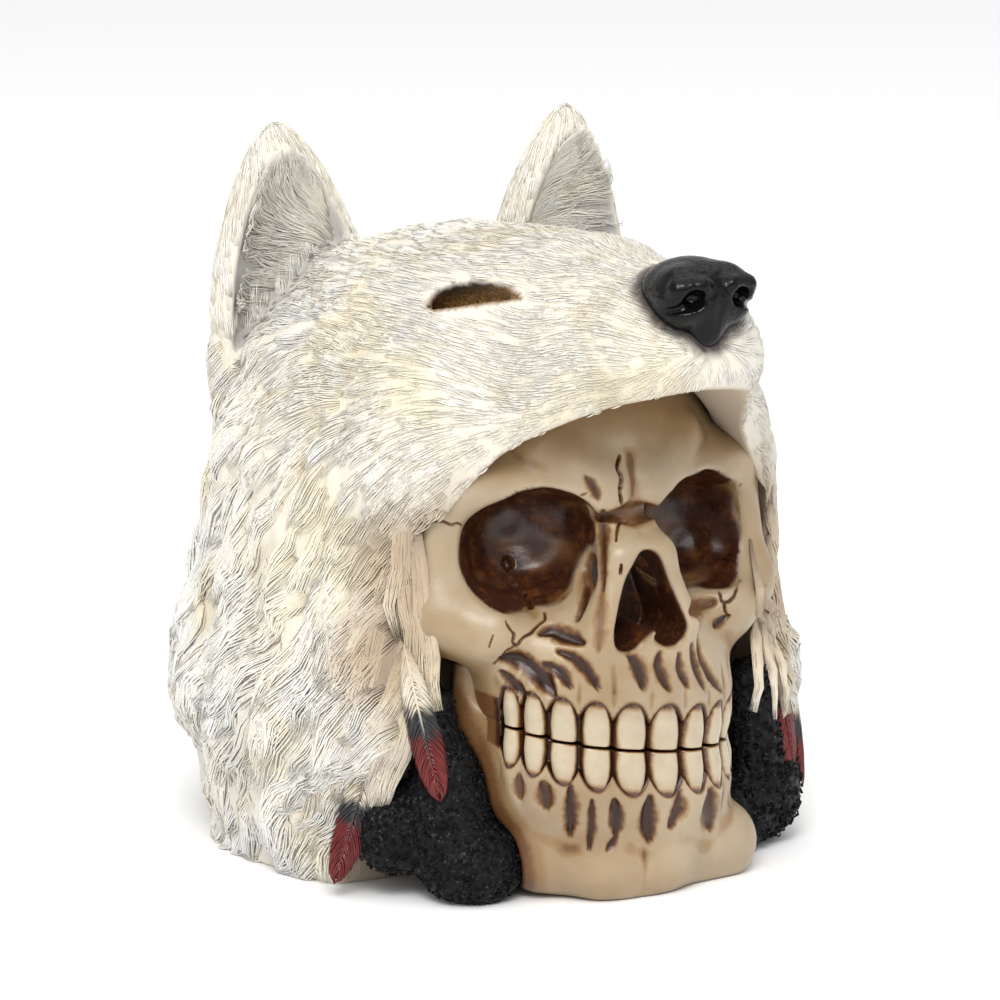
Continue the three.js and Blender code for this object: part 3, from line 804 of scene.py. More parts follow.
def makeMandible():
    jaw = meshOfForm("lowerJaw", jawForm, (-44, -75, -1), (44, -8, 62), bone["jawVoxel"])
    p = getPoints(jaw)
    brownDarkening = np.zeros(len(p))
    normals = getNormals(jaw)
    p = carveLines(p, normals, jawForm, jawHollows, brownDarkening, True)
    setPoints(jaw, p)
    # brown in the jaw's hollows: partly the real brown wash, partly painted shade where the hollows lie in
    # shadow
    brownDarkening = np.maximum(brownDarkening, np.clip(softened(jaw, cavity(jaw, p, 14)) * 3.4, 0, 0.5))
    narrow = softened(jaw, closeness(p, normals, jawForm, (2.5, 6)))
    brownDarkening = np.maximum(brownDarkening, 0.6 * smoothStep(0.12, 0.95, narrow))
    # painted shade on the jaw close beside the black tuft
    beside = tuftForm(tufts["black_tuft_right"])(p)
    brownDarkening = np.maximum(brownDarkening, 0.6 * (1 - smoothStep(0.5, 8, beside)))
    stain, _ = gumStain(p, -1, bite["lower"], 1.4, 0.5)
    brownDarkening = np.maximum(brownDarkening, 0.98 * (stain * (np.abs(p[:, 0]) < 30)))
    # painted shade on the back of the jaw, behind the teeth and up the branches
    recessShade = smoothStep(-44, -37, p[:, 1]) * smoothStep(8, 20, p[:, 2])
    brownDarkening = np.maximum(brownDarkening, 0.75 * recessShade)
    setAttribute(jaw, "brownDarkening", np.clip(brownDarkening, 0, 1))
    setAttribute(jaw, "hole", np.zeros(len(p)))
    return jaw


# teeth

tooth = {"enamel": (0.50, 0.42, 0.295), "neck": (0.38, 0.28, 0.17), "gap": 0.3, "thick": 3.1}
# half width of a crown from the bite (0) to the gum (1)
crownShape = [[0, 0.95], [0.08, 0.99], [0.34, 1.0], [0.64, 0.92], [0.86, 0.72], [1.0, 0.42]]


def makeTeeth(name, rise, tall):
    bm = bmesh.new()
    for side in (-1, 1):
        for i, width in enumerate(toothWidths):
            height = crownHeight(width, tall)
            middle = (toothEdges[i] + toothEdges[i + 1]) / 2
            x, y = (np.interp(middle, archLength, archLine[:, k]) for k in (0, 1))
            ax, ay = (np.interp(middle - 1, archLength, archLine[:, k]) for k in (0, 1))
            across = unit(np.array([x - ax, y - ay, 0]))
            out = np.array([across[1], -across[0], 0])
            crown = bmesh.ops.create_icosphere(bm, subdivisions=4, radius=1)["verts"]
            q = np.array([v.co for v in crown])
            t = np.clip((q[:, 2] + 1) / 2, 0, 1)
            t = 0.5 - 0.5 * np.cos(math.pi * t) * 0.25 - 0.375 * np.cos(math.pi * t)
            round2 = np.sqrt(np.maximum(1 - q[:, 2] ** 2, 1e-6))
            cap = np.clip(round2 * 1.9, 0, 1)
            flatX = np.sign(q[:, 0]) * np.abs(q[:, 0] / round2) ** 0.8
            half = (width - tooth["gap"]) / 2 * profile(crownShape, t) * cap
            deep = tooth["thick"] * (0.72 + 0.28 * smoothStep(0, 0.5, t)) * cap ** 0.8
            centre = np.array([x, y, 0])
            local = centre + across * (flatX * half)[:, None] + out * (q[:, 1] / round2 * deep)[:, None]
            local[:, 0] *= side
            fromBite = bite["gap"] / 2 + 0.12 + t * (height + 0.4)
            local[:, 2] = biteHeight(local[:, 0], middle) + rise * fromBite
            for v, co in zip(crown, local):
                v.co = co
            if side * rise < 0:
                bmesh.ops.reverse_faces(bm, faces=list({f for v in crown for f in v.link_faces}))
    bmesh.ops.recalc_face_normals(bm, faces=bm.faces)
    teeth = fromBmesh(name, bm)
    p = getPoints(teeth)
    s, out = alongArch(p)
    index, across = toothPlace(s)
    widths = np.array(toothWidths)[index]
    height = crownHeight(widths, tall)
    t = np.clip((p[:, 2] - biteHeight(p[:, 0], s)) * rise / height, 0, 1)
    edge = np.abs(across) * widths / np.maximum((widths - tooth["gap"]) * profile(crownShape, t), 0.1)
    stain = np.maximum(smoothStep(0.72, 1.02, edge), 1 - smoothStep(0.9, 2.1, out))
    stain = np.maximum(stain, smoothStep(0.84, 1.02, t))
    stain = np.maximum(stain, 1 - smoothStep(0.0, 0.07, t))
    setAttribute(teeth, "brownDarkening", np.clip(stain, 0, 1))
    setAttribute(teeth, "along", t)
    return teeth


def makeToothMaterial():
    mat, tree, shader = newMaterial("toothEnamel", {
        "Roughness": 0.2, "Coat Weight": 0.4, "Coat Roughness": 0.12,
        "Subsurface Weight": 0.1, "Subsurface Scale": 0.003, "Subsurface Radius": (1.0, 0.6, 0.35),
    })
    coords = objectCoords(tree)
    along = attributeNode(tree, "along").outputs["Fac"]
    brownDarkening = attributeNode(tree, "brownDarkening").outputs["Fac"]
    cloud = noiseNode(tree, coords, 240, 4, 0.6)
    middle = tuple(0.95 * c for c in tooth["enamel"])
    body = rampNode(tree, along, [(0.0, tooth["enamel"]), (0.55, middle), (0.95, tooth["neck"])])
    body = mixNode(tree, 0.3, body, rampNode(tree, cloud, [(0.3, tooth["neck"]), (0.65, tooth["enamel"])]))
    grain = noiseNode(tree, coords, 1100, 4, 0.6)
    ragged = mathNode(tree, "MULTIPLY", brownDarkening, mathNode(tree, "ADD", grain, 0.55), clamp=True)
    brown = rampNode(tree, ragged, [(0.0, (1, 1, 1)), (0.35, (0.72, 0.56, 0.38)), (0.7, (0.30, 0.16, 0.085)),
                                    (1.0, (0.13, 0.058, 0.03))])
    tree.links.new(mixNode(tree, 1.0, body, brown, "MULTIPLY"), shader.inputs["Base Color"])
    bumpNode(tree, shader, cloud, 0.12, 0.0004)
    return mat


toothMaterial = makeToothMaterial()
finishPiece(makeTeeth("upperTeeth", 1, bite["upper"]), toothMaterial, "cranium")
finishPiece(makeTeeth("lowerTeeth", -1, bite["lower"]), toothMaterial, "mandible")
print("teeth set")

# pelt

pelt = {
    "drapeWidth": [[0, 60], [14, 63], [34, 69], [62, 65], [90, 60], [112, 50], [128, 34]],
    "drapeDepth": [[0, 65], [34, 75], [90, 63], [112, 52], [128, 36]],
    "voxel": 1.2,
    "white": (0.875, 0.855, 0.795),
    "cream": (0.85, 0.80, 0.665),
    "cool": (0.835, 0.83, 0.815),
    "tan": (0.44, 0.31, 0.18),
    "lining": (0.50, 0.41, 0.31),
    "earBowl": (0.42, 0.41, 0.40),
    "noseSmudge": (0.03, 0.02, 0.018),
    # painted shadow under the upper lid of the eye slits
    "lidShadow": (0.012, 0.006, 0.004),
    "lump": 2.6,
    "lid": 0.8,
}
lipHalf = [(46, 50), (44.8, 63), (43.5, 80), (38, 88.7), (30, 100), (22, 108.5), (14, 114.2), (5, 116.2)]
bayHalf = [(56, -3), (53.5, 10), (51.5, 22), (48, 36), (45.5, 54)]
lipField = outlineField(softLoop(lipHalf + [(-x, z) for x, z in lipHalf[::-1]], 3))
bayField = outlineField(np.array(bayHalf + [(-x, z) for x, z in bayHalf[::-1]], float))
ear = {"place": (33.5, 36, 112), "tall": 51, "halfWidth": 20, "thick": 12, "wall": 3.5,
       "turn": 0.15, "lean": 0.09}
eyeSlit = {"place": (26, -34.5, 127.6), "radii": (6, 16.5, 7.2), "pitch": 0.22, "yaw": 0.19, "floor": 1.6}


def peltMass(p):
    m = mirrored(p)
    width, depth = profile(pelt["drapeWidth"], p[:, 2]), profile(pelt["drapeDepth"], p[:, 2])
    around = np.hypot(m[:, 0] / width, (m[:, 1] - 8) / depth) - 1
    drape = np.maximum(around * np.minimum(width, depth), m[:, 2] - 128)
    crown = ellipsoid(m, (0, 12, 101), (50, 50, 38.5))
    brow = ellipsoid(m, (0, -22, 112), (36, 36, 29))
    muzzle = rod(m, (0, -46, 119), (0, -75, 127), 25, 15.5)
    upperLip = rod(m, (6, -60, 119), (4, -77, 123), 17, 11.5)
    cheek = ellipsoid(m, (30, -27, 92), (20.5, 24, 30))
    lip = rod(m, (26, -48, 104), (11, -78, 121), 9, 8)
    return fuse(fuseAll(16, drape, crown, brow), fuseAll(8, muzzle, upperLip, lip, cheek), 12)


def earPlace(m):  # places in the ear's own frame: across, forward and up
    q = m - np.array(ear["place"])
    c, s = math.cos(ear["turn"]), math.sin(ear["turn"])
    x, y = q[:, 0] * c + q[:, 1] * s, q[:, 1] * c - q[:, 0] * s
    c, s = math.cos(ear["lean"]), math.sin(ear["lean"])
    return np.column_stack((x * c - q[:, 2] * s, y, x * s + q[:, 2] * c))


def earShell(q, wall, forward):
    tall = ear["tall"] - wall
    taper = 1 - 0.3 * np.clip(q[:, 2] / tall, 0, 1.2) ** 2
    radii = np.column_stack(((ear["halfWidth"] - wall) * taper, ear["thick"] * taper, np.full(len(q), tall)))
    return ellipsoid(q, (0, -forward, 0), radii)


def earForm(p):
    q = earPlace(mirrored(p))
    return carve(earShell(q, 0, 0), earShell(q, ear["wall"], 8.5), 1.6)


def slitForm(p):
    q = mirrored(p) - np.array(eyeSlit["place"])
    c, s = math.cos(eyeSlit["yaw"]), math.sin(eyeSlit["yaw"])
    x, y = q[:, 0] * c - q[:, 1] * s, q[:, 0] * s + q[:, 1] * c
    c, s = math.cos(eyeSlit["pitch"]), math.sin(eyeSlit["pitch"])
    local = np.column_stack((x, y * c - q[:, 2] * s, y * s + q[:, 2] * c))
    return overlap(ellipsoid(local, (0, 0, 0), eyeSlit["radii"]), eyeSlit["floor"] - local[:, 2], 0.6)


def openingForm(p):
    lip = np.maximum(lipField(p[:, 0], p[:, 2]), p[:, 1] + 41)
    bay = np.maximum(bayField(p[:, 0], p[:, 2]), p[:, 1] + 22)
    return np.minimum(lip, bay)


def skullRoom(p):  # the hollow that the skull fills
    m = mirrored(p)
    braincase = ellipsoid(m, (0, -8, 91), (41.9, 48.4, 38.9))
    forehead = ellipsoid(m, (0, -22, 98), (33.9, 34.4, 24.9))
    temple = ellipsoid(m, (24, -26, 74), (17, 23, 21))
    rim = rod(m, (37.8, -40.5, 90), (38.2, -41.5, 62), 5.6, 8.5)
    return fuseAll(8, braincase, forehead, temple, rim)


def furSkin(p):  # what the hairs lie on
    return fuse(peltMass(p), earForm(p), 3)


def hoodForm(p):
    hood = carve(furSkin(p), slitForm(p), 0.8)
    hood = carve(carve(hood, skullRoom(p), 0.8), openingForm(p), 1.4)
    return overlap(hood, -p[:, 2], 0.8)


def onEar(p):
    return smoothStep(1.0, -1.0, earForm(p) - peltMass(p)) * (p[:, 2] > 114)


def shagginess(p):  # 0 on the muzzle, 1 on the drape
    back = np.clip((p[:, 1] + 60) / 75, 0, 1)
    low = np.clip((124 - p[:, 2]) / 42, 0, 1)
    lowest = np.clip((88 - p[:, 2]) / 26, 0, 1)
    shag = 1 - (1 - 0.42 * back) * (1 - low * (0.22 + 0.78 * np.maximum(back, lowest)))
    return shag * (1 - 0.8 * onEar(p))


def relief(p, shag):  # lumps of the locks, drawn out along the fall of the hair
    warp = np.column_stack([noiseAt(p, 13, k) for k in (21, 22, 23)]) * 5
    flat = (p + warp) * [1, 0.85, 0.36]
    lumps = noiseAt(flat, 6.0, 1) + 0.55 * noiseAt(flat, 2.8, 2)
    lid = np.exp(-(slitForm(p) / 2.4) ** 2) * (p[:, 2] > 115)
    return pelt["lump"] * lumps * shag ** 1.5 + pelt["lid"] * lid


def furFlow(p):  # the way the hair lies
    x, y, z = p.T
    down = np.clip((130 - z) / 60, 0, 1) * (0.7 + 0.3 * smoothStep(-60, -25, y))
    rear = smoothStep(30, 70, y)
    front = 1 - smoothStep(-50, -20, y)
    flow = np.column_stack((
        np.sign(x) * (0.12 + 0.28 * front * down + 0.1 * rear),
        (1.0 - 0.45 * down) * (1 - 0.95 * rear),
        -(0.10 + 0.95 * down + 1.2 * rear),
    ))
    upward = np.column_stack((np.sign(x) * 0.1, 0.0 * y, np.ones(len(p))))
    return flow + (upward - flow) * onEar(p)[:, None]


def faceTint(p):  # the tan wash beside the face
    beside = np.maximum(lipField(p[:, 0], p[:, 2]), 0)
    near = 1 - smoothStep(2, 17, beside + 0.5 * np.maximum(p[:, 1] + 34, 0))
    return near * (1 - smoothStep(78, 104, p[:, 2])) * (p[:, 1] < -5)


noseCentre = (0, -83.5, 137)


def wolfNose(p):
    m = mirrored(p)
    pad = ellipsoid(m, noseCentre, (10.6, 12, 7.8))
    wing = ellipsoid(m, (5.8, -88.5, 137), (5.0, 6, 6.5))
    point = ellipsoid(m, (0, -86.5, 131.5), (5, 7, 6.5))
    return fuseAll(2.5, pad, wing, point)


def smudge(p):  # the dark edge round the nose pad
    return 1 - smoothStep(0.3, 3.4, wolfNose(p) + 0.5 * noiseAt(p, 1.2, 3))


def makeHood():
    hood = meshOfForm("peltBase", hoodForm, (-74, -100, -2), (74, 88, 168), pelt["voxel"])
    p = getPoints(hood)
    opening = openingForm(p)
    slit = slitForm(p)
    inner = 1 - smoothStep(0.3, 1.1, opening)
    lumps = relief(p, shagginess(p)) * (1 - inner)
    p = p + getNormals(hood) * (lumps - 0.25)[:, None] * smoothStep(0.5, 6, p[:, 2:])
    setPoints(hood, p)
    bowl = earShell(earPlace(mirrored(p)), ear["wall"], 8.5)
    # the base pelt is given an along value near the root, so it takes the hairs' painted root shade
    tints = np.column_stack((np.full(len(p), 0.08), 0.5 + 0.5 * noiseAt(p, 9, 4), faceTint(p), smudge(p)))
    setColours(hood, "fur", tints)
    setAttribute(hood, "lining", inner)
    setAttribute(hood, "eyelid", 1 - smoothStep(0.1, 0.7, slit))
    # painted shadow over the upper part of each eye slit, under the lid
    fromSlit = p - eyeSlit["place"]
    setAttribute(hood, "lidShadow", smoothStep(4.0, 7.0, fromSlit[:, 2] + 0.24 * fromSlit[:, 1]))
    setAttribute(hood, "earInside", (1 - smoothStep(0.3, 1.5, bowl)) * (p[:, 2] > 112))
    return hood


def hairTemplate(rings):  # a three-sided prism of length 1 with that many rings
    bm = bmesh.new()
    bmesh.ops.create_cone(bm, cap_ends=True, segments=3, radius1=1, radius2=1, depth=1)
    bmesh.ops.translate(bm, vec=(0, 0, 0.5), verts=bm.verts)
    for k in range(1, rings - 1):
        geom = bm.verts[:] + bm.edges[:] + bm.faces[:]
        bmesh.ops.bisect_plane(bm, geom=geom, plane_co=(0, 0, k / (rings - 1)), plane_no=(0, 0, 1))
    bmesh.ops.triangulate(bm, faces=bm.faces)
    bm.verts.index_update()
    verts = np.array([v.co for v in bm.verts])
    faces = np.array([[v.index for v in f.verts] for f in bm.faces])
    bm.free()
    return verts, faces


def hairMesh(name, path, up, half, high, colours, layer="fur"):  # one prism along every path
    count, rings = path.shape[:2]
    verts, faces = hairTemplate(rings)
    ring = np.rint(verts[:, 2] * (rings - 1)).astype(int)
    along = unit(np.gradient(path, axis=1))
    side = unit(np.cross(along, up))
    up = np.cross(side, along)
    points = (path[:, ring] + side[:, ring] * (verts[:, 0] * half[:, ring])[..., None]
              + up[:, ring] * (verts[:, 1] * high[:, ring])[..., None])
    mesh = bpy.data.meshes.new(name)
    corners = (faces[None] + (np.arange(count) * len(verts))[:, None, None]).reshape(-1)
    mesh.vertices.add(count * len(verts))
    mesh.vertices.foreach_set("co", points.ravel())
    mesh.loops.add(len(corners))
    mesh.loops.foreach_set("vertex_index", corners.astype(np.int32))
    mesh.polygons.add(len(corners) // 3)
    mesh.polygons.foreach_set("loop_start", np.arange(0, len(corners), 3, dtype=np.int32))
    mesh.update(calc_edges=True)
    obj = newObject(name, mesh)
    setColours(obj, layer, colours[:, ring].reshape(-1, 4))
    return obj


def growGuides(roots, reach, rings, swirl, skin=furSkin, lie=furFlow):  # centre lines of the locks
    p = roots
    path, ups = [p], [unit(gradient(skin, p))]
    spin = swirl * noiseAt(roots, 16, 6)
    for _ in range(rings - 1):
        n = ups[-1]
        flow = lie(p)
        flow = unit(flow - n * (flow * n).sum(1)[:, None])
        side = np.cross(n, flow)
        flow = flow * np.cos(spin)[:, None] + side * np.sin(spin)[:, None]
        p = p + flow * (reach / (rings - 1))[:, None]
        f = skin(p)
        g = gradient(skin, p, f)
        p = p - g * np.clip(f, -2, 2)[:, None]
        path.append(p)
        ups.append(unit(g))
    return np.stack(path, 1), np.stack(ups, 1)


def scatterRoots(hood, spacing, keep, seed):  # places on the pelt, closer together where spacing is small
    local = np.random.default_rng(seed)
    mesh = hood.data
    mesh.calc_loop_triangles()
    tris = np.zeros(len(mesh.loop_triangles) * 3, np.int32)
    mesh.loop_triangles.foreach_get("vertices", tris)
    tris = tris.reshape(-1, 3)
    p = getPoints(hood)
    a, b, c = p[tris[:, 0]], p[tris[:, 1]], p[tris[:, 2]]
    area = np.linalg.norm(np.cross(b - a, c - a), axis=1) / 2
    middle = (a + b + c) / 3
    weight = area * keep(middle) / spacing(middle)
    total = int(weight.sum())
    pick = local.choice(len(tris), total, p=weight / weight.sum())
    u, v = local.random((2, total))
    flip = u + v > 1
    u, v = np.where(flip, 1 - u, u), np.where(flip, 1 - v, v)
    return a[pick] + (b - a)[pick] * u[:, None] + (c - a)[pick] * v[:, None]


def furFree(p):  # where no hair grows: nose, lining, eye slits, ear bowls and the base
    q = earPlace(mirrored(p))
    bowl = (earShell(q, ear["wall"], 8.5) < 0.8) & (p[:, 2] > 116) & (peltMass(p) > 0.5)
    return (openingForm(p) < 0.9) | (slitForm(p) < 0.7) | (wolfNose(p) < 0.6) | (p[:, 2] < 1.5) | bowl


# kinds of hair: which shagginess, rings, hairs to a lock, and sizes at the low and high end of the range
furKinds = {
    "shortFur": {"from": -0.1, "to": 0.30, "rings": 4, "hairs": 2, "length": (4.5, 7.5), "lock": (0.35, 0.5),
                 "hair": (0.15, 0.19), "lift": (0.0, 0.16), "thick": (0.02, 0.12), "wave": (0.1, 0.25),
                 "overlap": 1.7, "swirl": 0.3},
    "middleFur": {"from": 0.30, "to": 0.66, "rings": 5, "hairs": 5, "length": (8, 15), "lock": (0.9, 1.8),
                  "hair": (0.17, 0.24), "lift": (0.08, 0.45), "thick": (0.1, 0.4), "wave": (0.3, 0.9),
                  "overlap": 2.55, "swirl": 0.45},
    "shagFur": {"from": 0.66, "to": 1.01, "rings": 6, "hairs": 10, "length": (15, 24), "lock": (1.8, 2.8),
                "hair": (0.24, 0.33), "lift": (0.2, 0.9), "thick": (0.45, 0.8), "wave": (0.8, 1.6),
                "overlap": 2.85, "swirl": 0.55},
}


def growLocks(roots, guide, ups, s, kind, reach, seed):  # the hairs of each lock: path, up, half width
    local = np.random.default_rng(seed)
    at = lambda key: kind[key][0] + (kind[key][1] - kind[key][0]) * s  # s is 0 at the short end
    hairs = kind["hairs"]
    t = np.linspace(0, 1, kind["rings"])
    side = np.cross(unit(np.gradient(guide, axis=1)), ups)
    lock = at("lock") * local.uniform(0.75, 1.3, len(roots))
    lift = at("lift") * local.uniform(0.4, 1.6, len(roots))
    phase = 6.28 * noiseAt(roots, 17, 8) + local.uniform(-0.9, 0.9, len(roots))
    wave = at("wave")[:, None] * np.sin(phase[:, None] + t * reach[:, None] / 3.0) * t ** 0.7
    gather = np.interp(t, [0, 0.3, 0.7, 1], kind.get("gather", [0.6, 1, 0.85, 0.4]))
    offset = np.linspace(-1, 1, hairs)[None] + local.uniform(-0.7, 0.7, (len(roots), hairs)) / hairs
    fine = 0.3 * at("wave")[:, None, None] * t * np.sin(
        local.uniform(0, 6.28, (len(roots), hairs))[..., None] + t * reach[:, None, None] / 2.0)
    sideways = (offset * lock[:, None])[..., None] * gather + wave[:, None] + fine
    rise = np.sqrt(np.maximum(1 - offset ** 2, 0.02))[..., None] * (at("thick")[:, None, None] * gather)
    rise = rise + (lift[:, None] * t ** 1.3)[:, None] - kind.get("sink", 0.3) * (1 - t) ** 2
    path = guide[:, None] + side[:, None] * sideways[..., None]
    flat = path.reshape(-1, 3)
    rise = rise + relief(flat, shagginess(flat)).reshape(rise.shape)
    path = path + ups[:, None] * rise[..., None]
    path[..., 2] = np.maximum(path[..., 2], 0.3)
    up = unit(ups[:, None] + side[:, None] * (0.7 * offset)[..., None, None])
    half = (at("hair")[:, None, None] * local.uniform(0.7, 1.3, (len(roots), hairs, 1))
            * np.interp(t, [0, 0.25, 0.75, 1], [0.8, 1.0, 0.75, 0.12]))
    return path, up, half


def furColours(path, roots, seed, dark=True):  # along, tone, tan wash and dark smudge, all along each hair
    local = np.random.default_rng(seed)
    count, hairs, rings = path.shape[:3]
    flat = path.reshape(-1, 3)
    along = np.broadcast_to(np.linspace(0, 1, rings), (count, hairs, rings))
    tone = 0.5 + 0.35 * noiseAt(roots, 9, 4) + local.normal(0, 0.12, count)
    tone = np.clip(tone[:, None] + local.normal(0, 0.1, (count, hairs)), 0, 1)
    black = smudge(flat).reshape(along.shape) if dark else 0 * along
    tone = np.broadcast_to(tone[..., None], along.shape)
    return np.stack((along, tone, faceTint(flat).reshape(along.shape), black), -1)


def splitMeshes(name, path, up, half, colours, order, keep=None):  # meshes of under 200,000 triangles
    rings = path.shape[2]
    shape = lambda a: np.broadcast_to(a, path.shape[:3] + a.shape[3:]).reshape((-1, rings) + a.shape[3:])
    path, up, half, colours = shape(path), shape(up), shape(half), shape(colours)
    order = np.argsort(np.repeat(order, len(path) // len(order)), kind="stable")
    if keep is not None:
        order = order[keep[order]]
    faces = 6 * (rings - 1) + 2  # of one hair
    most = 190000 // faces
    pieces = []
    for k, start in enumerate(range(0, len(order), most)):
        part = order[start:start + most]
        wide = half[part]
        pieces.append(hairMesh(f"{name}{k + 1}", path[part], up[part], wide, wide * 0.8, colours[part]))
    print(name, len(order), "hairs,", len(order) * faces, "triangles,", len(pieces), "pieces")
    return pieces


def furPieces(name, hood, seed):
    kind = furKinds[name]
    share = lambda p: np.clip((shagginess(p) - kind["from"]) / (kind["to"] - kind["from"]), 0, 1)
    at = lambda key, s: kind[key][0] + (kind[key][1] - kind[key][0]) * s
    spacing = lambda p: 2 * at("lock", share(p)) * at("length", share(p)) / kind["overlap"]
    inRange = lambda p: (shagginess(p) >= kind["from"]) & (shagginess(p) < kind["to"]) & ~furFree(p)
    roots = scatterRoots(hood, spacing, inRange, seed)
    roots = settle(roots, furSkin, 2, 3.0)
    s = share(roots)
    reach = at("length", s) * np.random.default_rng(seed + 1).uniform(0.75, 1.25, len(roots))
    reach = np.minimum(reach, 3 + 1.1 * roots[:, 2])
    reach = reach * (1 - 0.6 * (1 - smoothStep(1, 9, openingForm(roots))) * (roots[:, 2] > 84))
    guide, ups = growGuides(roots, reach, kind["rings"], kind["swirl"])
    path, up, half = growLocks(roots, guide, ups, s, kind, reach, seed + 2)
    colours = furColours(path, roots, seed + 3)
    flat = path.reshape(-1, 3)
    crossing = (slitForm(flat) < 0.5) | (wolfNose(flat) < 0.0) | (openingForm(flat) < 0.2)
    keep = ~crossing.reshape(-1, kind["rings"]).any(1)
    return splitMeshes(name, path, up, half, colours, np.arctan2(roots[:, 0], -roots[:, 1] - 10), keep)


# hairs inside the ears: they sweep from the inner edge across the bowl
earHair = {"rings": 6, "hairs": 4, "count": 270, "length": (6, 15), "lock": (0.5, 1.0), "hair": (0.15, 0.20),
           "lift": (0.2, 0.9), "thick": (0.1, 0.3), "wave": (0.5, 1.3)}
# locks that hang beside the face: places in the photograph, half width in mm
faceLocks = {
    "rightCheek": ([(414, 515), (419, 580), (428, 645), (441, 710)], 2.0),
    "rightJaw": ([(404, 560), (413, 630), (424, 700)], 2.3),
    "rightFork": ([(420, 620), (402, 690), (350, 752)], 2.8),
    "rightForkLow": ([(408, 640), (386, 715), (340, 760)], 2.6),
    "rightLong": ([(396, 560), (380, 620), (358, 710), (334, 812)], 3.2),
    "rightInner": ([(415, 690), (402, 745), (378, 808)], 2.6),
    "rightFeather": ([(400, 700), (386, 760), (364, 812)], 2.8),
    "rightOuter": ([(372, 640), (340, 740), (300, 860)], 3.2),
    "rightTan": ([(408, 500), (402, 560), (398, 640)], 2.4),
    "leftCheek": ([(754, 540), (760, 600), (760, 650), (754, 712)], 1.3),
    "leftMiddle": ([(758, 560), (766, 620), (769, 670), (768, 718)], 1.3),
    "leftBack": ([(762, 560), (776, 620), (786, 712)], 1.5),
}
faceLockHair = {"rings": 9, "hairs": 30, "hair": (0.20, 0.20), "lift": (0.3, 0.3), "thick": (1.0, 1.0),
                "wave": (0.6, 0.6), "gather": [0.4, 1, 0.95, 0.45], "sink": 1.2}


def makeFaceLocks(seed):
    front = lambda q: np.minimum(furSkin(q), craniumForm(q, holes=False) - 0.8)
    guides = []
    for pixels, width in faceLocks.values():
        line = onForm(front, pixels, 8)
        reach = np.concatenate(([0], np.cumsum(np.linalg.norm(np.diff(line, axis=0), axis=1))))
        at = np.linspace(0, reach[-1], faceLockHair["rings"])
        guides.append(np.column_stack([np.interp(at, reach, line[:, k]) for k in range(3)]))
    guide = np.stack(guides)
    ups = unit(np.stack([unit(gradient(furSkin, line)) for line in guides]) + 0.4 * viewBack * [1, 1, 0])
    kind = dict(faceLockHair, lock=(0, 1))
    widths = np.array([width for _, width in faceLocks.values()])
    reach = np.linalg.norm(np.diff(guide, axis=1), axis=2).sum(1)
    path, up, half = growLocks(guide[:, 0], guide, ups, widths, kind, reach, seed)
    colours = furColours(path, guide[:, 0], seed + 1, dark=False)
    colours[..., 2] = np.maximum(colours[..., 2], 0.6)
    return splitMeshes("faceLock", path, up, half, colours, guide[:, 0, 0])


def earBowl(p):
    return -earShell(earPlace(mirrored(p)), ear["wall"], 8.5)


def earSweep(p):  # from the inner edge outwards and up
    q = earPlace(mirrored(p))
    up = 0.35 + 0.9 * smoothStep(22, 45, q[:, 2])
    outwards = np.sign(p[:, 0]) * (1 - 0.4 * smoothStep(24, 46, q[:, 2]))
    return np.column_stack((outwards, np.zeros(len(p)), up))


def makeEarHair(seed):
    local = np.random.default_rng(seed)
    roots = []
    for side in (-1, 1):
        across, high = local.uniform(-15, 12, 4000), local.uniform(2, 46, 4000)
        keep = local.random(4000) < 1.05 - (across + 15) / 27
        across, high = across[keep], high[keep]
        q = np.column_stack((across, np.full(len(across), 2.0), high))
        c, s2 = math.cos(ear["lean"]), math.sin(ear["lean"])
        x, z = q[:, 0] * c + q[:, 2] * s2, q[:, 2] * c - q[:, 0] * s2
        c, s2 = math.cos(ear["turn"]), math.sin(ear["turn"])
        p = np.column_stack((x * c - q[:, 1] * s2, x * s2 + q[:, 1] * c, z)) + ear["place"]
        p = settle(p, earBowl, 4, 4.0)
        p = p[(earForm(p) < 0.4) & (peltMass(p) > 0.3)][:earHair["count"]]
        roots.append(p * [side, 1, 1])
    roots = np.concatenate(roots)
    s = local.random(len(roots))
    reach = earHair["length"][0] + (earHair["length"][1] - earHair["length"][0]) * s
    guide, ups = growGuides(roots, reach, earHair["rings"], 0.5, earBowl, earSweep)
    path, up, half = growLocks(roots, guide, ups, s, earHair, reach, seed + 2)
    colours = furColours(path, roots, seed + 3, dark=False)
    colours[..., 1] *= 0.35
    inside = (earForm(path.reshape(-1, 3)) < 3.0).reshape(-1, earHair["rings"]).all(1)
    return splitMeshes("earHair", path, up, half, colours, roots[:, 0], inside)


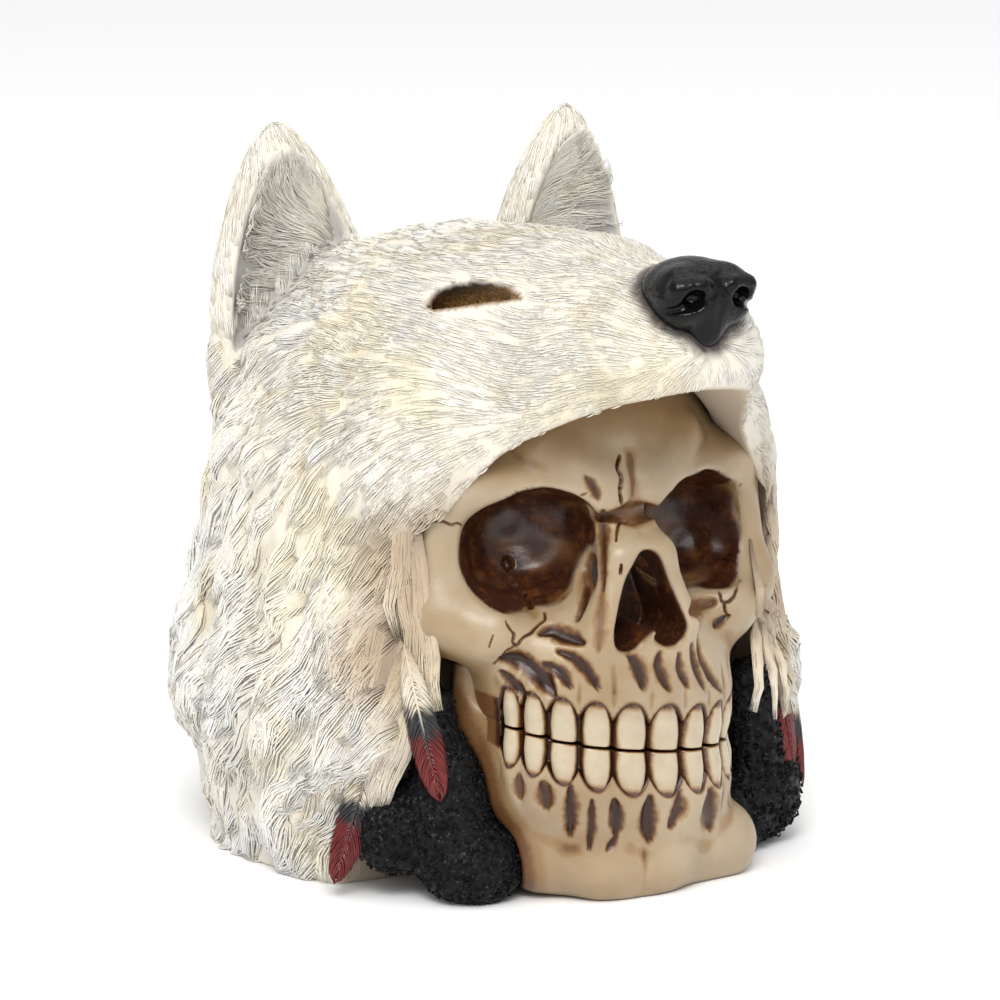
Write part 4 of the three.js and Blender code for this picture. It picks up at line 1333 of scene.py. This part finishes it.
def makeFurMaterial():
    mat, tree, shader = newMaterial("paintedWhiteFur", {
        "Roughness": 0.62, "Specular IOR Level": 0.35, "Sheen Weight": 0.1,
    })
    coords = objectCoords(tree)
    fur = addNode(tree, "SeparateColor", {"Color": attributeNode(tree, "fur").outputs["Color"]})
    along, tone, brownDarkening = (fur.outputs[k] for k in range(3))
    dark = attributeNode(tree, "fur").outputs["Alpha"]
    big = noiseNode(tree, coords, 34, 3, 0.6)
    shifted = addNode(tree, "Mapping", {"Vector": coords, "Location": (3.1, 1.7, 0.4)}).outputs[0]
    other = noiseNode(tree, shifted, 42, 3, 0.6)
    creamShare = rampNode(tree, big, [(0.50, (0, 0, 0)), (0.66, (1, 1, 1))])
    base = mixNode(tree, creamShare, pelt["white"], pelt["cream"])
    coolShare = rampNode(tree, other, [(0.52, (0, 0, 0)), (0.68, (0.85, 0.85, 0.85))])
    base = mixNode(tree, coolShare, base, pelt["cool"])
    shades = rampNode(tree, tone, [(0.0, (0.89, 0.875, 0.845)), (0.5, (1, 1, 1)), (1.0, (1.05, 1.04, 1.01))])
    base = mixNode(tree, 1.0, base, shades, "MULTIPLY")
    # painted shade at the hair roots, where the hairs lie over one another
    rootShade = rampNode(tree, along, [(0.0, (0.84, 0.80, 0.73)), (0.25, (0.94, 0.92, 0.885)), (0.6, (1, 1, 1))])
    base = mixNode(tree, 1.0, base, rootShade, "MULTIPLY")
    tan = rampNode(tree, along, [(0.0, (0.16, 0.085, 0.045)), (0.3, pelt["tan"]), (1.0, (0.70, 0.58, 0.41))])
    base = mixNode(tree, mathNode(tree, "MULTIPLY", brownDarkening, 0.8), base, tan)
    base = mixNode(tree, dark, base, pelt["noseSmudge"])
    lining = attributeNode(tree, "lining").outputs["Fac"]
    base = mixNode(tree, lining, base, pelt["lining"])
    earInside = attributeNode(tree, "earInside").outputs["Fac"]
    base = mixNode(tree, mathNode(tree, "MULTIPLY", earInside, 0.8), base, pelt["earBowl"])
    streaks = noiseNode(tree, coords, 1500, 4, 0.7)
    lid = rampNode(tree, streaks, [(0.35, (0.05, 0.022, 0.008)), (0.5, (0.20, 0.105, 0.028)),
                                   (0.68, (0.42, 0.26, 0.075))])
    # painted shadow over the top of the eye slit, under the lid
    lid = mixNode(tree, attributeNode(tree, "lidShadow").outputs["Fac"], lid, pelt["lidShadow"])
    base = mixNode(tree, attributeNode(tree, "eyelid").outputs["Fac"], base, lid)
    tree.links.new(base, shader.inputs["Base Color"])
    strands = addNode(tree, "Mapping", {"Vector": coords, "Scale": (1.0, 1.0, 0.16)}).outputs[0]
    bumpNode(tree, shader, noiseNode(tree, strands, 1400, 4, 0.65), 0.6, 0.0008)
    return mat


boneMaterial = makeBoneMaterial()
finishPiece(makeCranium(), boneMaterial, "cranium")
finishPiece(makeMandible(), boneMaterial, "mandible")
print("skull and jaw carved")

furMaterial = makeFurMaterial()
hood = makeHood()
print("pelt shaped")
furObjects = [piece for seed, kind in enumerate(furKinds) for piece in furPieces(kind, hood, 40 + 10 * seed)]
furObjects += makeEarHair(90) + makeFaceLocks(95)
for piece in [hood] + furObjects:
    finishPiece(piece, furMaterial, "wolf_pelt")
print("fur grown")

# nose pad

nosePad = {"voxel": 0.38, "black": (0.003, 0.003, 0.0035)}


def nosePadForm(p):
    m = mirrored(p)
    pad = wolfNose(p)
    rim = rod(m, (3.6, -94.2, 140.2), (8.6, -92.2, 139.6), 1.5, 1.7)
    pad = fuse(pad, rim, 2.0)
    nostril = ellipsoid(m, (5.7, -95.2, 137.3), (2.5, 4.2, 2.3))
    comma = rod(m, (7.2, -94.6, 135.9), (11.6, -88.5, 134.2), 1.25, 0.5)
    middle = rod(m, (0, -97.0, 139.5), (0, -93.6, 127.5), 0.75, 0.6)
    return carve(carve(pad, fuse(nostril, comma, 1.5), 0.9), middle, 1.0)


def makeNosePad():
    pad = meshOfForm("noseLeather", nosePadForm, (-14, -98, 122), (14, -68, 148), nosePad["voxel"])
    p = getPoints(pad)
    pebbles = cellBumps(p, 1.0, 3) * 0.10 * smoothStep(128, 136, p[:, 2])
    setPoints(pad, p + getNormals(pad) * pebbles[:, None])
    return pad


def cellBumps(p, size, seed):  # 1 at the middle of each small round grain, 0 between them
    q = p / size
    base = np.floor(q).astype(np.int64)
    best = np.full(len(p), 9.0)
    for dx in (-1, 0, 1):
        for dy in (-1, 0, 1):
            for dz in (-1, 0, 1):
                cell = base + [dx, dy, dz]
                jitter = [0.5 + 0.42 * lattice(*cell.T, seed + k) for k in range(3)]
                best = np.minimum(best, ((cell + np.column_stack(jitter) - q) ** 2).sum(1))
    return np.sqrt(np.maximum(1 - best / 0.55, 0))


def makeNoseMaterial():
    mat, tree, shader = newMaterial("wetBlackNose", {
        "Base Color": (*nosePad["black"], 1), "Roughness": 0.13, "Specular IOR Level": 0.2,
    })
    coords = objectCoords(tree)
    streaks = addNode(tree, "Mapping", {"Vector": coords, "Scale": (1.0, 0.22, 0.6)}).outputs[0]
    bumpNode(tree, shader, noiseNode(tree, streaks, 900, 3, 0.6), 0.35, 0.0004)
    return mat


finishPiece(makeNosePad(), makeNoseMaterial(), "wolf_nose")
print("nose made")

# black tufts

# the darkest black is painted shade between the grains, and the grey is a painted highlight on the raised
# grains
tuftColours = {"hollow": (0.001, 0.001, 0.0012), "curl": (0.006, 0.006, 0.007), "grainHighlight": (0.22, 0.22, 0.23)}


def makeTuft(node, settings, seed):
    form = tuftForm(settings)
    facing = -1 if settings["eggs"][0][0][0] < 0 else 1
    low, high = sorted((facing * 15, facing * 63))
    tuft = meshOfForm(node + "Mass", form, (low, -62, -1), (high, -18, 54), 0.5)
    p = getPoints(tuft)
    normals = getNormals(tuft)
    grains = cellBumps(p, settings["grain"], seed)
    p = p + normals * (settings["proud"] * (grains - 0.5) + 0.5 * noiseAt(p, 5, seed))[:, None]
    p[:, 2] = np.maximum(p[:, 2], 0.1)
    setPoints(tuft, p)
    setAttribute(tuft, "proud", grains)
    local = np.random.default_rng(seed)
    pick = local.choice(len(p), settings["curls"], replace=False)
    pick = pick[p[pick, 2] > 1.5]
    n = unit(normals[pick])
    side = unit(np.cross(n, unit(local.normal(size=(len(pick), 3)))))
    other = np.cross(n, side)
    rings = 6
    angle = np.linspace(0, 1, rings) * local.uniform(3.2, 5.2, (len(pick), 1))
    radius = local.uniform(*settings["ring"], (len(pick), 1))
    lift = local.uniform(0.0, 0.5, (len(pick), 1)) * settings["proud"] + 0.35 * np.sin(angle)
    path = (p[pick][:, None] + side[:, None] * (radius * np.cos(angle))[..., None]
            + other[:, None] * (radius * np.sin(angle))[..., None] + n[:, None] * lift[..., None])
    taper = np.interp(np.linspace(0, 1, rings), [0, 0.3, 0.8, 1], [0.7, 1, 0.8, 0.3])
    half = np.broadcast_to(0.5 * radius * taper, angle.shape)
    ups = np.broadcast_to(n[:, None], path.shape)
    curls = hairMesh(node + "Curls", path, ups, half, half, np.ones(path.shape[:2] + (4,)))
    setAttribute(curls, "proud", np.full(len(curls.data.vertices), 0.9))
    return [tuft, curls]


def makeTuftMaterial():
    mat, tree, shader = newMaterial("blackCurls", {"Roughness": 0.45, "Specular IOR Level": 0.14})
    coords = objectCoords(tree)
    proud = attributeNode(tree, "proud").outputs["Fac"]
    # painted highlights: grey spots on the raised grains, standing for light caught on their tips
    highlightSpots = rampNode(tree, noiseNode(tree, coords, 1300, 3, 0.6), [(0.60, (0, 0, 0)), (0.70, (1, 1, 1))])
    # painted shade: the black is darker in the hollows between the grains
    black = mixNode(tree, proud, tuftColours["hollow"], tuftColours["curl"])
    share = mathNode(tree, "MULTIPLY", highlightSpots, mathNode(tree, "MULTIPLY", proud, 0.35))
    grey = mixNode(tree, share, black, tuftColours["grainHighlight"])
    tree.links.new(grey, shader.inputs["Base Color"])
    bumpNode(tree, shader, noiseNode(tree, coords, 1800, 3, 0.6), 0.3, 0.0003)
    return mat


tuftMaterial = makeTuftMaterial()
for seed, (node, settings) in enumerate(tufts.items()):
    for piece in makeTuft(node, settings, 60 + seed):
        finishPiece(piece, tuftMaterial, node)
print("tufts curled")

# feathers

featherLook = {"halfThick": 1.6, "barbs": 62, "rings": 6, "charcoal": (0.022, 0.023, 0.026),
               "speck": (0.42, 0.32, 0.20), "red": (0.20, 0.012, 0.010), "darkRed": (0.085, 0.006, 0.006)}
# root, tip, the way out, and where the charcoal band and the red tip start, from 0 at the root to 1
feathers = {
    "feather_right_front": {"root": (-49, -45.5, 59), "tip": (-42.5, -50, 24.5), "out": (-0.5, -0.85, 0),
                            "band": (0.42, 0.60), "halfWidth": 3.7},
    "feather_right_back": {"root": (-47, -37, 46), "tip": (-59, -32, 4), "out": (-0.7, -0.7, 0),
                           "band": (0.57, 0.68), "halfWidth": 4.2},
    "feather_left_front": {"root": (44, -43, 52), "tip": (54, -39, 18), "out": (0.5, -0.85, 0),
                           "band": (0.36, 0.55), "halfWidth": 4.4},
    "feather_left_back": {"root": (56, -32, 44), "tip": (63, -29.5, 11), "out": (0.8, -0.6, 0),
                          "band": (0.45, 0.66), "halfWidth": 3.6},
}


def featherFrame(settings):
    root, tip, out = (np.array(settings[k], float) for k in ("root", "tip", "out"))
    reach = np.linalg.norm(tip - root) / 2
    z = unit(tip - root)
    x = unit(np.cross(out, z))
    return root + z * reach, x, np.cross(z, x), z, reach


def makeFeather(node, settings, seed):
    centre, x, y, z, reach = featherFrame(settings)
    front = -1 if y @ np.array(settings["out"]) < 0 else 1
    wide, thick = settings["halfWidth"], featherLook["halfThick"]
    bm = bmesh.new()
    bmesh.ops.create_icosphere(bm, subdivisions=4, radius=1)
    for v in bm.verts:
        u = np.array(v.co)
        full = 1 + 0.25 * u[2]
        v.co = centre + x * u[0] * (wide * full - 0.5) + y * u[1] * (thick * 0.75) + z * u[2] * (reach - 0.6)
    bmesh.ops.recalc_face_normals(bm, faces=bm.faces)
    leaf = fromBmesh(node + "Vane", bm)
    p = getPoints(leaf)
    setColours(leaf, "vane", featherBands(p, centre, z, reach, settings))
    local = np.random.default_rng(seed)
    rings, count = featherLook["rings"], featherLook["barbs"]
    t = np.linspace(0, 1, rings)
    taper = np.interp(t, [0, 0.3, 0.8, 1], [0.9, 1, 0.8, 0.2])
    paths, ups, halves = [], [], []
    for side in (-1, 1):
        for layer in (0, 1):
            start = np.linspace(-0.97, 0.86, count) + local.normal(0, 0.012, count)
            run = 0.30 + 0.06 * local.random(len(start))
            w = start[:, None] + run[:, None] * t ** 1.15
            w = np.minimum(w, 0.995 + 0.03 * local.random((len(start), 1)))
            full = np.sqrt(np.maximum(1 - w ** 2, 0)) * (1 + 0.25 * w)
            fan = t ** 0.8 * local.uniform(0.90, 1.04, (len(start), 1))
            s = side * fan * full * wide
            dome = np.sqrt(np.maximum(1 - w ** 2 - (fan * np.sqrt(np.maximum(1 - w ** 2, 0))) ** 2, 0.0))
            loose = 0.2 * t * local.uniform(-0.3, 1, (len(start), 1))
            h = front * (thick * 0.75 * dome + 0.25 + 0.1 * layer + loose)
            paths.append(centre + x * s[..., None] + y * h[..., None] + z * (w * reach)[..., None])
            ups.append(np.broadcast_to(y * front + x * side * 0.4, paths[-1].shape))
            halves.append(np.broadcast_to(local.uniform(0.17, 0.25, (len(start), 1)) * taper, w.shape))
    along = np.linspace(-1.0, 0.96, rings)[None]
    dome = np.sqrt(np.maximum(1 - along ** 2, 0))
    high = front * (thick * 0.75 * dome + 0.45)
    quill = centre + y * high[..., None] + z * (along * reach)[..., None]
    paths.append(quill)
    ups.append(np.broadcast_to(y * float(front), quill.shape))
    halves.append(np.array([[0.5, 0.5, 0.45, 0.4, 0.3, 0.12]]))
    path, up, half = (np.concatenate(a) for a in (paths, ups, halves))
    bands = featherBands(path.reshape(-1, 3), centre, z, reach, settings)
    barbs = hairMesh(node + "Barbs", path, up, half, half * 0.8, bands.reshape(path.shape[:2] + (4,)), "vane")
    return [leaf, barbs]


def featherBands(p, centre, z, reach, settings):  # how far along, charcoal share, red share, and noise
    along = ((p - centre) @ z / reach + 1) / 2
    ragged = 0.035 * noiseAt(p, 0.9, 31) + 0.02 * noiseAt(p, 0.4, 32)
    dark, red = settings["band"]
    charcoal = smoothStep(dark - 0.02, dark + 0.02, along + ragged)
    tip = smoothStep(red - 0.02, red + 0.02, along + 1.6 * ragged)
    return np.column_stack((along, charcoal, tip, 0.5 + 0.5 * noiseAt(p, 0.7, 33)))


def makeFeatherMaterial():
    mat, tree, shader = newMaterial("paintedFeather", {
        "Roughness": 0.36, "Coat Weight": 0.2, "Coat Roughness": 0.2,
    })
    vane = attributeNode(tree, "vane")
    bands = addNode(tree, "SeparateColor", {"Color": vane.outputs["Color"]})
    along, charcoal, tip = (bands.outputs[k] for k in range(3))
    cream = rampNode(tree, along, [(0.0, (0.50, 0.40, 0.27)), (0.3, (0.78, 0.72, 0.60)),
                                   (1.0, (0.80, 0.74, 0.62))])
    specks = mathNode(tree, "MULTIPLY", vane.outputs["Alpha"], 0.55)
    cream = mixNode(tree, specks, cream, featherLook["speck"])
    colour = mixNode(tree, charcoal, cream, featherLook["charcoal"])
    red = mixNode(tree, vane.outputs["Alpha"], featherLook["red"], featherLook["darkRed"])
    tree.links.new(mixNode(tree, tip, colour, red), shader.inputs["Base Color"])
    return mat


featherMaterial = makeFeatherMaterial()
for seed, (node, settings) in enumerate(feathers.items()):
    for piece in makeFeather(node, settings, 70 + seed):
        finishPiece(piece, featherMaterial, node)
print("feathers laid")

# stage

# lamps: place in metres, watts, size in metres
stageLook = {
    "lamps": {
        "keyLight": ((-0.75, -1.15, 1.3), 17.0, 0.7),
        "fillLight": ((1.2, -1.1, 0.6), 2.5, 1.2),
        "topLight": ((0.1, 0.3, 1.6), 5.0, 1.4),
    },
    "lampAim": (0, 0, 0.08),
    "sun": {"energy": 1.35, "angle": 1.2, "aim": (0.45, 0.55, -0.9)},
    "air": 0.56,
    "floor": 0.96,
    "floorHalf": 6.0,
}


def aimed(obj, place, way):
    obj.location = place
    obj.rotation_euler = Vector(way).to_track_quat("-Z", "Y").to_euler()
    return obj


def makeFloor():
    bm = bmesh.new()
    bmesh.ops.create_grid(bm, x_segments=1, y_segments=1, size=stageLook["floorHalf"])
    floor = fromBmesh("studioFloor", bm)
    pale = (*(stageLook["floor"],) * 3, 1)
    mat = newMaterial("paleFloor", {"Base Color": pale, "Roughness": 0.9, "Specular IOR Level": 0.1})[0]
    floor.data.materials.append(mat)


def makeLights():
    sun = bpy.data.lights.new("softSun", "SUN")
    sun.energy, sun.angle = stageLook["sun"]["energy"], stageLook["sun"]["angle"]
    aimed(newObject("softSun", sun), (0, 0, 0), stageLook["sun"]["aim"])
    for name, (place, watts, size) in stageLook["lamps"].items():
        lamp = bpy.data.lights.new(name, "AREA")
        lamp.energy, lamp.size = watts, size
        aimed(newObject(name, lamp), place, Vector(stageLook["lampAim"]) - Vector(place))
    world = bpy.data.worlds.new("studioAir")
    world.use_nodes = True
    air = world.node_tree.nodes["Background"]
    air.inputs["Color"].default_value = (1.0, 1.0, 1.0, 1)
    air.inputs["Strength"].default_value = stageLook["air"]
    bpy.context.scene.world = world
    bpy.context.scene.view_settings.view_transform = "Standard"


def makeCamera():
    lens = bpy.data.cameras.new("photoCamera")
    lens.lens, lens.sensor_width, lens.clip_end = camera["lens"], camera["sensor"], 50
    bpy.context.scene.camera = aimed(newObject("photoCamera", lens), Vector(viewFrom * mm), -viewBack)


makeFloor()
makeLights()
makeCamera()
print("stage lit")
